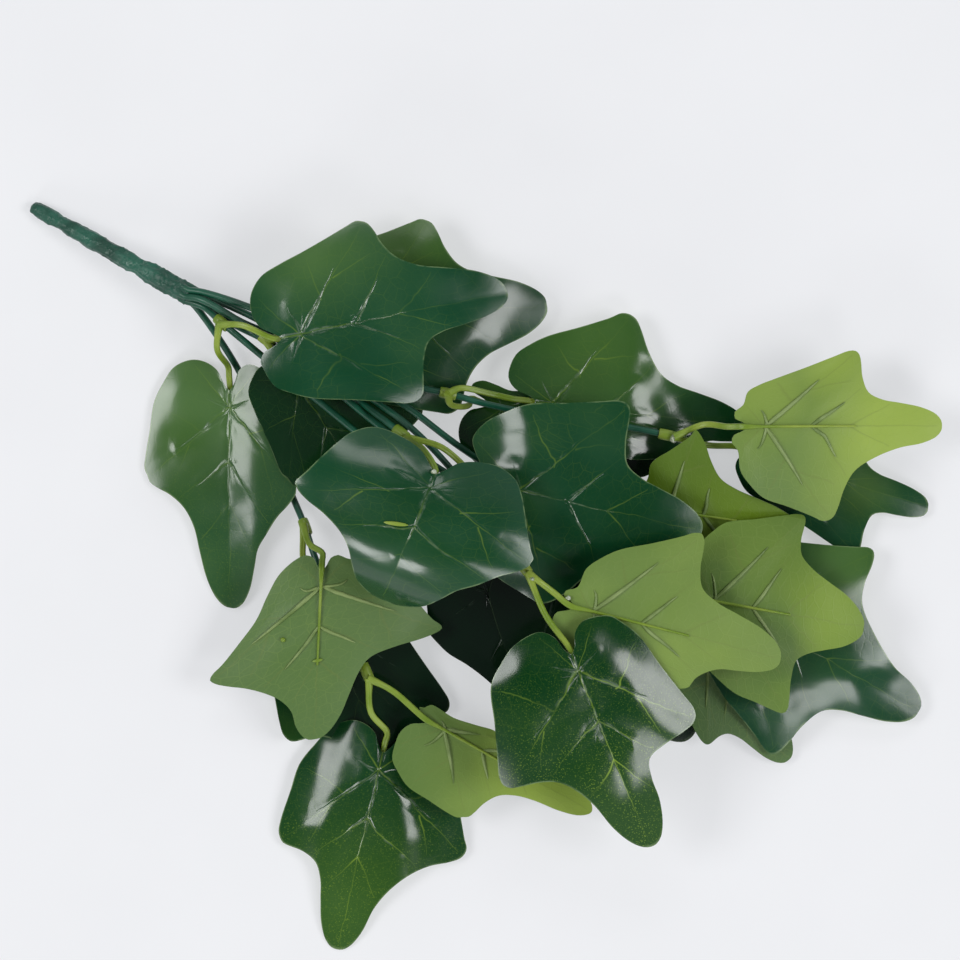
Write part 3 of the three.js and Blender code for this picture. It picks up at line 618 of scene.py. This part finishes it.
def stem(name, turn, path, material):
    points = stem_path(turn, path, 1.5)
    share = np.linspace(0, 1, len(points))
    radii = STEM + (STEM_TIP - STEM) * share
    sections = sections_of(radii, radii, sides=20)
    # The moulding's seam: a faint ridge on each side
    sections[:, [0, 10], 0] *= 1.07
    verts, faces = sweep(points, sections)
    mesh_piece(f"stem_{name}", verts, faces, [material])


def nearby(known, share, out, values):
    """A blend of the values at the known places that lie nearest to each point."""
    away = np.hypot(known[:, 0] - share[:, None], known[:, 1] - out[:, None])
    near = np.argsort(away, axis=1)[:, :NEIGHBOURS]
    weight = 1 / (np.take_along_axis(away, near, axis=1) + 0.003)
    return (values[near] * weight).sum(axis=1) / weight.sum(axis=1)


def on_own(name, share, out):
    """Where points of the plain leaf lie on this leaf, whose outline is its own."""
    net, flat, _ = RELIEFS[name]
    return [value + nearby(flat, share, out, net[:, k] - flat[:, k])
            for k, value in enumerate((share, out))]


def on_back(name, share, out, clear):
    """Points off a leaf's back, which follow its waves, bends and creases."""
    shape, _ = leaf_surface(LEAVES[name])
    share, out = np.broadcast_arrays(np.atleast_1d(share), np.atleast_1d(out))
    net, _, level = RELIEFS[name]
    raised = nearby(net, share, out, level)
    return shape(share, out) + normals(shape, share, out) * (LEAVES[name]["back"] * clear + raised)[:, None]


def arm(name, crown, through):
    """An arm from the crown to the leaf's notch and on as its midrib, and where it lands."""
    shape, _ = leaf_surface(LEAVES[name])
    clear = SOLID_BLADE / 2 + GAP + PETIOLE
    start = np.array([0.0])
    height = (np.array(through[-1]) - shape(0, 0)[0]) @ normals(shape, start, start)[0]
    if height * LEAVES[name]["back"] > 0:
        entry = [(-0.02, 1.0)]
    else:
        entry = [(-0.1, -0.9), (-0.06, -0.05), (-0.022, 0.9)]
    rib = [(0.06, 0.72), (0.16, 0.6), (0.3, 0.52), (0.42, 0.46), (RIBS[0][1][0], 0.4)]
    landed = [on_back(name, share, 0, clear * level)[0] for share, level in entry + rib]
    line = open_curve([crown, *through, *landed], 1.2)
    lands = int(norm(line - landed[len(entry) - 1], axis=1).argmin())
    return line, lands


def arm_shell(name, crown, through):
    points, lands = arm(name, crown, through)
    run = np.arange(len(points))
    on_leaf = np.clip((run - lands) / (len(points) - 1 - lands), 0, 1)
    start = np.clip(run / 5, 0, 1)
    wide = (ARM_WIDE + 0.4 * (1 - start)) * (1 - 0.45 * np.clip(on_leaf * 6, 0, 1) - 0.2 * on_leaf)
    high = (ARM_HIGH + 0.5 * (1 - start)) * (1 - 0.4 * np.clip(on_leaf * 6, 0, 1) - 0.2 * on_leaf)
    groove = ARM_GROOVE * start * np.clip(1 - on_leaf * 5, 0, 1)
    return sweep(points, sections_of(wide, high, groove))


def rib_shell(name, rib, side):
    """One raised rib on a leaf's back, bowed a little, from the midrib out."""
    a, b, width, _ = rib
    share = np.linspace(0, 1, RIB_STEPS)
    bow = 0.015 * np.sin(share * math.pi)
    place = on_own(name, a[0] + (b[0] - a[0]) * share + bow, side * (b[1] * share + bow))
    line = on_back(name, *place, BLADE / 2 + RIB_LIFTS[LEAVES[name]["underside"]])
    radius = width * (1 - share) ** 0.6 * (0.5 + 0.5 * np.minimum(1, share * 6)) * RIB_RADIUS + 0.05
    return sweep(line, sections_of(radius, radius * 0.75))


def nib_shell(name, start, end, radius, high):
    share = np.linspace(0, 1, 10)
    line = on_back(name, start[0] + (end[0] - start[0]) * share,
                   start[1] + (end[1] - start[1]) * share, high * LEAVES[name]["back"])
    thick = radius * np.sqrt(np.clip(np.sin(share * math.pi), 0, 1)) * 0.9 + 0.1
    return sweep(line, sections_of(thick, thick * 0.7))


def sleeve(middle, axis, length, inner, outer, sides=24):
    """A short ring round a stem, rounded at its rims."""
    axis = unit(axis)
    across = unit(np.cross(UP, axis))
    rise = np.cross(axis, across)
    profile = [(-0.5, inner), (-0.5, outer - 0.2), (-0.44, outer), (-0.15, outer + 0.08),
               (0.15, outer + 0.08), (0.44, outer), (0.5, outer - 0.2), (0.5, inner)]
    turn = turns(sides)
    around = across[None] * np.cos(turn)[:, None] + rise[None] * np.sin(turn)[:, None]
    verts = np.vstack([middle + axis * length * t + around * r for t, r in profile])
    faces = []
    for i in range(len(profile)):
        faces.extend(band(i * sides, (i + 1) % len(profile) * sides, sides))
    return verts, faces


def bead(middle, radii, rings=7, sides=14):
    """A small drop of set glue."""
    verts = []
    for i in range(1, rings + 1):
        tilt = math.pi * i / (rings + 1)
        for k in range(sides):
            turn = 2 * math.pi * k / sides
            bump = 1 + 0.08 * math.sin(3 * turn + i)
            verts.append([math.sin(tilt) * math.cos(turn) * bump,
                          math.sin(tilt) * math.sin(turn) * bump, -math.cos(tilt)])
    verts.extend([[0, 0, -1], [0, 0, 1]])
    return np.array(verts) * radii + middle, tube_faces(rings, sides)


# Where glue shows, as [place, radii] in mm by clip
GLUE = {
    5: [((-18.6, 38.5, 55.6), (1.1, 0.9, 0.7))],
    6: [((17.3, -0.6, 43.2), (1.0, 0.8, 0.8)), ((30.2, -7.5, 45.6), (1.1, 0.9, 0.7))],
    7: [((69.3, 50.7, 18.6), (1.3, 1.7, 1.1))],
    8: [((57.6, 11.7, 24.6), (1.3, 1.1, 0.8))],
    10: [((-42.4, -39.5, 17.4), (1.2, 1.1, 0.9))],
}
# The collar round a stem: length, inner and outer radius
COLLAR = (6.2, 1.22, 1.95)
# Flash left by the moulding: lime nibs that show on two leaves, as [leaf, from, to, radius,
# height over the blade's middle] in shares of the leaf and mm
NIBS = {
    3: [("R", (0.4, -0.2), (0.425, -0.21), 1.0, 0.8), ("R", (0.53, -0.03), (0.515, 0.03), 0.6, 0.8)],
    5: [("F", (0.37, -0.11), (0.33, -0.02), 0.75, 0.7)],
}
LIME, SET_GLUE, PALE = 0, 1, 2


def add_clips(materials):
    paths = [stem_path(*row, 1.0) for row in STEMS.values()]
    for name, (over, arms) in CLIPS.items():
        parts = []
        for leaf_name, through in arms.items():
            parts.append((*arm_shell(leaf_name, over, through), LIME))
            for rib in RIBS[1:]:
                parts.extend((*rib_shell(leaf_name, rib, side), PALE) for side in (1, -1))
        away = [norm(path - over, axis=1) for path in paths]
        nearest = int(np.argmin([distance.min() for distance in away]))
        near = paths[nearest]
        i = int(np.clip(away[nearest].argmin(), 4, len(near) - 4))
        parts.append((*sleeve(near[i], near[i + 3] - near[i - 3], *COLLAR), LIME))
        parts.extend((*nib_shell(*nib), LIME) for nib in NIBS.get(name, []))
        parts.extend((*bead(*drop), SET_GLUE) for drop in GLUE.get(name, []))
        verts, faces, which = joined(parts)
        mesh_piece(f"clip_{name}", verts, faces, materials, which)


# The handle in shares of its length: its radius, its pinches as [place, reach, depth] and the
# tape's burrs as [place, angle round it, height, reach in mm]
HANDLE_PROFILE = [
    (0, 1.9), (0.025, 2.6), (0.12, 3), (0.2, 2.6), (0.28, 3.1), (0.42, 3.35), (0.47, 3),
    (0.55, 3.3), (0.68, 3.5), (0.72, 3.3), (0.8, 3.8), (0.9, 4.1), (1, 4), (1.05, 4.05),
]
PINCHES = [(0.19, 0.035, 0.3), (0.33, 0.03, 0.25), (0.52, 0.03, 0.3), (0.7, 0.035, 0.6), (0.93, 0.04, 0.35)]
BURRS = [(0.84, 3.6, 0.55, 1.0), (0.97, 3.5, 0.6, 0.9), (0.79, 0.2, 0.35, 0.9), (0.5, 3.3, 0.3, 0.8)]
LAP = 8.5


def add_handle(material):
    length = norm(np.subtract(HANDLE_END, HANDLE_TIP))
    rings, sides = 220, 54
    share = np.linspace(0, 1.045, rings)
    known = np.array(HANDLE_PROFILE)
    base = np.interp(share, known[:, 0], known[:, 1])
    kernel = np.hanning(13)
    base = np.convolve(np.pad(base, 6, mode="edge"), kernel / kernel.sum(), mode="valid")
    base = np.minimum(base, 1.9 + np.sqrt(np.maximum(share, 0) * 60))
    # Knots where the tape was drawn tight, and its end hugging the roots of the stems
    for at, reach, deep in PINCHES:
        base = base - deep * np.exp(-((share - at) / reach) ** 2)
    s, t = np.meshgrid(share, turns(sides), indexing="ij")
    run = s * length
    # The tape's overlapping turns, the roots that show through it and its fine wrinkles
    lap = (run / LAP + t / (2 * math.pi)) % 1
    radius = base[:, None] + 0.3 * np.exp(-((lap - 0.5) / 0.08) ** 2) * (0.5 + 0.5 * s)
    radius = radius + 0.2 * np.cos(7 * t + 0.07 * run) * np.clip(s * 1.4, 0.3, 1) * (s < 0.96)
    end = np.clip((s - 0.93) / 0.1, 0, 1)
    radius = radius * (1 - 0.14 * end) + 0.42 * end * np.cos(6 * t)
    radius = radius + 0.12 * np.sin(1.1 * run + 3 * t) * np.sin(0.5 * run - 2 * t)
    radius = radius + 0.05 * np.sin(3.7 * run - 5 * t + 1) * np.sin(0.37 * run + t)
    for at, angle, high, reach in BURRS:
        away = ((run - at * length) / reach) ** 2 + ((np.angle(np.exp(1j * (t - angle)))) / 0.22) ** 2
        radius = radius + high * np.exp(-away)
    middle = np.array(HANDLE_TIP) + HANDLE_AXIS * (share * length)[:, None]
    verts = (middle[:, None] + HANDLE_SIDE * (np.cos(t) * radius)[..., None]
             + HANDLE_RISE * (np.sin(t) * radius)[..., None]).reshape(-1, 3)
    tip = np.array(HANDLE_TIP) - HANDLE_AXIS * 0.8
    verts = np.vstack([verts, tip, middle[-1]])
    verts[:, 2] = np.maximum(verts[:, 2], 0.02)
    mesh_piece("handle", verts, tube_faces(rings, sides), [material])


# Materials

def rgb(red, green, blue):
    """A colour as seen, from 0 to 255, as the light it stands for."""
    return tuple(((c / 255 + 0.055) / 1.055) ** 2.4 if c > 10 else c / 255 / 12.92
                 for c in (red, green, blue)) + (1.0,)


def node(kind, inputs, **settings):
    """A node in the tree of what feeds it, or in the one that comes in place of inputs."""
    if isinstance(inputs, bpy.types.NodeTree):
        tree, inputs = inputs, {}
    else:
        tree = next(value.id_data for value in inputs.values() if isinstance(value, bpy.types.NodeSocket))
    made = tree.nodes.new("ShaderNode" + kind)
    for key, value in settings.items():
        setattr(made, key, value)
    for key, value in inputs.items():
        if isinstance(value, bpy.types.NodeSocket):
            tree.links.new(value, made.inputs[key])
        else:
            made.inputs[key].default_value = value
    return made


def calc(operation, *values, clamp=False):
    return node("Math", dict(enumerate(values)), operation=operation, use_clamp=clamp).outputs[0]


def times(a, b, clamp=False):
    return calc("MULTIPLY", a, b, clamp=clamp)


def plus(a, b, clamp=False):
    return calc("ADD", a, b, clamp=clamp)


def inverse(value, clamp=False):
    return calc("SUBTRACT", 1.0, value, clamp=clamp)


def most(a, b):
    return calc("MAXIMUM", a, b)


def vector(operation, *values, scale=None):
    inputs = dict(enumerate(values))
    if scale is not None:
        inputs["Scale"] = scale
    made = node("VectorMath", inputs, operation=operation)
    return made.outputs["Value" if operation in ("LENGTH", "DOT_PRODUCT") else "Vector"]


def mix(factor, a, b):
    """Colour a, or b where the factor is 1: the colour sockets are the node's 6, 7 and 2."""
    return node("Mix", {0: factor, 6: a, 7: b}, data_type="RGBA").outputs[2]


def ramp(value, low, high, to_low=0.0, to_high=1.0):
    made = node("MapRange", {0: value, 1: low, 2: high, 3: to_low, 4: to_high},
                interpolation_type="SMOOTHSTEP")
    return made.outputs[0]


def noise(place, scale, detail=3.0, rough=0.55):
    made = node("TexNoise", {"Vector": place, "Scale": scale, "Detail": detail, "Roughness": rough})
    return made.outputs["Fac"]


def patchy(place, scale, low, high, to_low=0.0, to_high=1.0, detail=3.0):
    """Soft patches of noise."""
    return ramp(noise(place, scale, detail), low, high, to_low, to_high)


def object_place(tree):
    return node("TexCoord", tree).outputs["Object"]


def attribute(tree, name):
    return node("Attribute", tree, attribute_name=name).outputs["Fac"]


def new_material(name, **values):
    made = bpy.data.materials.new(name)
    made.use_nodes = True
    for key, value in values.items():
        made.node_tree.nodes["Principled BSDF"].inputs[key.replace("_", " ")].default_value = value
    return made, made.node_tree


def finished(made, colour, rough=None, bumps=None):
    """The material with its colour, roughness and bumps, which are [height, depth in m, strength]."""
    tree = made.node_tree
    given = {"Base Color": colour, "Roughness": rough}
    if bumps:
        given["Normal"] = node("Bump", dict(zip(("Height", "Distance", "Strength"), bumps))).outputs[0]
    for key, value in given.items():
        if value is not None:
            tree.links.new(value, tree.nodes["Principled BSDF"].inputs[key])
    return made


def line_distance(p, lines, taper):
    """The least distance from p to any of the lines, in shares of the leaf's length."""
    nearest = None
    for start, end, _, _ in lines:
        a, b = (*start, 0.0), (*end, 0.0)
        span = tuple(y - x for x, y in zip(a, b))
        size = sum(c * c for c in span)
        from_a = vector("SUBTRACT", p, a)
        along = calc("DIVIDE", vector("DOT_PRODUCT", from_a, span), size, clamp=True)
        past = vector("SUBTRACT", from_a, vector("SCALE", span, scale=along))
        away = plus(vector("LENGTH", past), times(along, taper))
        nearest = away if nearest is None else calc("MINIMUM", nearest, away)
    return nearest


def leaf_patterns(tree):
    """Where the main veins, the ribs, the fine net and the lighter and darker zones, partly painted sheen
    and shade, are on a leaf.
    """
    uv = node("UVMap", tree, uv_map="leaf").outputs[0]
    p = vector("SUBTRACT", uv, (*TEXTURE_AT, 0))
    p = vector("SCALE", p, scale=1 / TEXTURE)
    place = object_place(tree)
    wobble = node("TexNoise", {"Vector": place, "Scale": 90.0, "Detail": 2.0}).outputs["Color"]
    wobble = vector("SUBTRACT", wobble, (0.5, 0.5, 0.5))
    q = vector("ADD", p, vector("SCALE", wobble, scale=0.035))
    flat = vector("MULTIPLY", vector("ABSOLUTE", q), (0, 1, 0))
    folded = vector("ADD", vector("MULTIPLY", q, (1, 0, 0)), flat)
    nearest = line_distance(folded, VEINS, 0.003)
    crease = line_distance(folded, RIBS, 0.012)
    nets = []
    for scale in (19.0, 44.0):
        cells = node("TexVoronoi", {"Vector": q, "Scale": scale, "Randomness": 0.9},
                     feature="DISTANCE_TO_EDGE", voronoi_dimensions="2D")
        nets.append(cells.outputs["Distance"])
    return place, nearest, crease, nets, attribute(tree, "tone")


def printed_lines(tree, place, nearest, nets):
    """How much yellow shows in a glossy face: its veins, their fine net and tiny flecks."""
    speckle = attribute(tree, "speckle")
    strength = plus(0.5, speckle)
    veins = times(ramp(nearest, 0.0, 0.006), strength)
    veins = calc("SUBTRACT", strength, veins, clamp=True)
    coarse = ramp(nets[0], 0.0, 0.04, 0.12, 0.0)
    fine = ramp(nets[1], 0.0, 0.1, 0.04, 0.0)
    fade = patchy(place, 60.0, 0.35, 0.65, 0.2, detail=2.0)
    lines = times(most(veins, most(coarse, fine)), fade)
    flecks = ramp(noise(place, 1900.0, 1.0), 0.6, 0.7)
    flecks = times(flecks, ramp(nearest, 0.0, 0.09, 1.0, 0.45))
    return most(lines, times(flecks, speckle))


def pressed_height(place, crease, fold):
    """The ribs behind press through as narrow ridges with puckers beside them."""
    uneven = patchy(place, 70.0, 0.3, 0.6, 0.15, detail=1.0)
    pucker = times(ramp(crease, 0.01, 0.06, 1.0, 0.0), noise(place, 170.0, 0.0))
    ridge = plus(ramp(crease, 0.003, 0.014, 2.8, 0.0), times(pucker, 2.2))
    return times(times(fold, uneven), ridge)


def leaf_top_material():
    made, tree = new_material("leaf_top_gloss", IOR=1.5)
    place, nearest, crease, nets, tone = leaf_patterns(tree)
    fold = attribute(tree, "fold")
    patches = noise(place, 22.0, 2.0)
    # Lighter patches: paler leaf colour, and painted sheen where the glossy face would catch the lights
    light = plus(tone, ramp(patches, 0.45, 0.75, 0, 0.2), clamp=True)
    dark = times(tone, -1.0, clamp=True)
    green = mix(patchy(place, 9.0, 0.35, 0.65, detail=1.0), rgb(4, 46, 12), rgb(9, 52, 22))
    # Painted sheen: a teal veil, the reflection of the dim overhead, laid on the glossy tops of some leaves
    teal_sheen_and_lime = times(attribute(tree, "teal_sheen_and_lime"), ramp(patches, 0.3, 0.6, 0.55, 1.0))
    green = mix(teal_sheen_and_lime, green, rgb(19, 65, 42))
    # The greyer light colour on teal faces is painted sheen too
    colour = mix(light, green, mix(teal_sheen_and_lime, rgb(54, 88, 30), rgb(72, 104, 56)))
    # Painted shade: near black where the tone is below 0, with the print fading into it
    colour = mix(dark, colour, rgb(3, 14, 9))
    lines = printed_lines(tree, place, nearest, nets)
    lines = times(lines, inverse(times(dark, 1.3), clamp=True))
    colour = mix(lines, colour, rgb(112, 138, 48))
    # Painted highlight: pale lines along both sides of the creases, where the creased gloss catches the
    # lights
    wear_and_glint = calc("SUBTRACT", ramp(crease, 0.004, 0.007), ramp(crease, 0.009, 0.014))
    wear_and_glint = times(wear_and_glint, times(fold, patchy(place, 240.0, 0.42, 0.6)))
    colour = mix(times(wear_and_glint, 0.55), colour, rgb(96, 114, 96))
    rim = ramp(attribute(tree, "rim"), 0.6, 0.95, 0.0, 0.75)
    rim = times(rim, patchy(place, 140.0, 0.35, 0.6))
    colour = mix(times(rim, inverse(dark)), colour, rgb(112, 134, 92))
    pressed = pressed_height(place, crease, fold)
    height = plus(times(noise(place, 75.0, 1.0), 0.5), pressed)
    height = plus(height, ramp(nets[0], 0.0, 0.08, 0.0, 0.02))
    rough = patchy(place, 45.0, 0.3, 0.7, 0.13, 0.22)
    return finished(made, colour, rough, (height, 0.0003, 0.6))


def leaf_back_material():
    made, tree = new_material("leaf_back_satin", IOR=1.45)
    place, nearest, _, nets, tone = leaf_patterns(tree)
    teal_sheen_and_lime = attribute(tree, "teal_sheen_and_lime")
    patches = noise(place, 25.0, 2.0)
    light = plus(tone, ramp(patches, 0.4, 0.75, 0, 0.2), clamp=True)
    # Painted shade: a duller, darker green where the tone is below 0
    painted_shade = times(tone, -1.0, clamp=True)
    colour = mix(painted_shade, rgb(78, 106, 50), rgb(52, 86, 40))
    # The leaf's own lime on its back
    colour = mix(teal_sheen_and_lime, colour, rgb(76, 104, 2))
    colour = mix(light, colour, mix(teal_sheen_and_lime, rgb(136, 158, 58), rgb(108, 136, 8)))
    coarse = ramp(nets[0], 0.0, 0.06, 0.2, 0.0)
    fine = ramp(nets[1], 0.0, 0.12, 0.08, 0.0)
    net = times(most(coarse, fine), ramp(patches, 0.3, 0.6, 0.3, 1.0))
    net = times(net, inverse(times(teal_sheen_and_lime, 0.6)))
    colour = mix(net, colour, rgb(126, 148, 70))
    colour = mix(ramp(nearest, 0.0, 0.01, 0.3, 0.0), colour, rgb(96, 108, 46))
    height = times(noise(place, 300.0, 2.0), 0.5)
    height = plus(height, ramp(nets[0], 0.0, 0.1, 0.3, 0.0))
    rough = patchy(place, 45.0, 0.3, 0.7, 0.46, 0.6)
    return finished(made, colour, rough, (height, 0.00012, 0.6))


def edge_material():
    made, tree = new_material("leaf_cut_edge", Roughness=0.6)
    wear_and_glint = patchy(object_place(tree), 160.0, 0.35, 0.65)
    return finished(made, mix(wear_and_glint, rgb(74, 94, 58), rgb(136, 148, 122)))


def moulded(name, ior, colours, patches, rough, grain):
    """Moulded plastic: two colours in patches as [scale, low, high], roughness as [scale, least,
    most] and grain as [scale, depth in m, strength]."""
    made, tree = new_material(name, IOR=ior)
    place = object_place(tree)
    colour = mix(patchy(place, *patches), *colours)
    rough = patchy(place, rough[0], 0.3, 0.7, *rough[1:])
    return finished(made, colour, rough, (noise(place, grain[0]), *grain[1:]))


def rib_material():
    return moulded("rib_pale_moulded", 1.45, (rgb(90, 112, 54), rgb(124, 142, 86)),
                   (90.0, 0.35, 0.65), (150.0, 0.4, 0.55), (500.0, 0.0001, 0.4))


def clip_material():
    return moulded("clip_lime_moulded", 1.46, (rgb(100, 126, 30), rgb(132, 150, 54)),
                   (60.0, 0.35, 0.7), (120.0, 0.3, 0.46), (500.0, 0.00015, 0.5))


def stem_material():
    return moulded("stem_teal_moulded", 1.46, (rgb(4, 56, 38), rgb(20, 84, 62)),
                   (70.0, 0.3, 0.75), (150.0, 0.28, 0.45), (420.0, 0.00015, 0.5))


def tape_material():
    made, tree = new_material("wrap_teal_tape", IOR=1.45)
    place = object_place(tree)
    colour = mix(patchy(place, 90.0, 0.3, 0.7, detail=4.0), rgb(10, 58, 44), rgb(34, 92, 74))
    scuffs = ramp(noise(place, 420.0, 4.0, 0.7), 0.58, 0.72, 0.0, 0.6)
    colour = mix(scuffs, colour, rgb(104, 128, 116))
    wrinkles = node("TexNoise", {"Vector": place, "Scale": 330.0, "Detail": 5.0, "Distortion": 1.2})
    rough = patchy(place, 200.0, 0.3, 0.7, 0.32, 0.5)
    return finished(made, colour, rough, (wrinkles.outputs["Fac"], 0.0007, 0.9))


def glue_material():
    made, tree = new_material("set_glue", Roughness=0.12, IOR=1.48)
    haze = noise(object_place(tree), 700.0)
    colour = mix(ramp(haze, 0.35, 0.65), rgb(116, 130, 92), rgb(170, 176, 160))
    return finished(made, colour, bumps=(haze, 0.0002, 0.4))


# Studio

# Soft lights as [name, bearing and angle from overhead in degrees, size in m, brightness]
SOFTBOXES = [
    ("light_back", 90, 47, (0.9, 0.5), 3.5),
    ("light_left", 175, 41, (0.8, 0.8), 9),
    ("light_right", -3, 43, (0.8, 0.8), 9),
    ("light_front_left", -121, 66, (0.5, 0.5), 10),
    ("light_front_right", -62, 40, (0.6, 0.5), 7),
]
LIGHT_REACH = 2.0
# The floor is a square in metres, and the camera looks straight down on the photo's middle,
# with one of the picture's points to so many millimetres
FLOOR_HALF = 4
PICTURE = 960
POINT = 0.37
CAMERA_OVER = (-1.85, 35.5)
CAMERA_HEIGHT = 3.0
SENSOR = 36


def softbox(name, turn, tilt, size, glow):
    data = bpy.data.lights.new(name, "AREA")
    data.shape = "RECTANGLE"
    data.size, data.size_y = size
    data.energy = glow * math.pi * size[0] * size[1]
    lamp = bpy.data.objects.new(name, data)
    turn, tilt = math.radians(turn), math.radians(tilt)
    way = Vector((math.cos(turn) * math.sin(tilt), math.sin(turn) * math.sin(tilt), math.cos(tilt)))
    lamp.location = way * LIGHT_REACH
    lamp.rotation_euler = way.to_track_quat("Z", "Y").to_euler()
    bpy.context.scene.collection.objects.link(lamp)


def paper_floor():
    corners = [(-FLOOR_HALF, -FLOOR_HALF, 0), (FLOOR_HALF, -FLOOR_HALF, 0),
               (FLOOR_HALF, FLOOR_HALF, 0), (-FLOOR_HALF, FLOOR_HALF, 0)]
    mesh = bpy.data.meshes.new("floor")
    mesh.from_pydata(corners, [], [(0, 1, 2, 3)])
    floor = bpy.data.objects.new("floor", mesh)
    paper, tree = new_material(
        "floor_paper", Roughness=0.9, Emission_Color=(0.96, 0.97, 1.0, 1.0), Emission_Strength=0.5)
    grain = patchy(object_place(tree), 12.0, 0.3, 0.7)
    mesh.materials.append(finished(paper, mix(grain, rgb(152, 152, 154), rgb(155, 155, 157))))
    bpy.context.scene.collection.objects.link(floor)


def sky():
    """White round the sides, darker above and a dim ceiling overhead."""
    world = bpy.data.worlds.new("studio")
    world.use_nodes = True
    tree = world.node_tree
    way = node("TexCoord", tree).outputs["Generated"]
    height = node("SeparateXYZ", {0: way}).outputs["Z"]
    low, top = ramp(height, 0.45, 0.92, 0.4, 0.06), ramp(height, 0.95, 0.985, 0.0, 0.08)
    background = tree.nodes["Background"]
    background.inputs["Color"].default_value = (0.9, 0.97, 1.0, 1.0)
    tree.links.new(plus(low, top), background.inputs["Strength"])
    bpy.context.scene.world = world


def overhead_camera():
    data = bpy.data.cameras.new("camera")
    data.sensor_width = SENSOR
    data.lens = SENSOR * CAMERA_HEIGHT / (PICTURE * POINT * MM)
    data.clip_end = 20
    camera = bpy.data.objects.new("camera", data)
    camera.location = (CAMERA_OVER[0] * MM, CAMERA_OVER[1] * MM, CAMERA_HEIGHT)
    bpy.context.scene.collection.objects.link(camera)
    bpy.context.scene.camera = camera


paper_floor()
sky()
for light in SOFTBOXES:
    softbox(*light)
overhead_camera()
bpy.context.scene.view_settings.view_transform = "Standard"

blades = [leaf_top_material(), leaf_back_material(), edge_material()]
for name, row in LEAVES.items():
    leaf(name, row, blades)
stems_material = stem_material()
for name, row in STEMS.items():
    stem(name, *row, stems_material)
add_clips([clip_material(), glue_material(), rib_material()])
add_handle(tape_material())
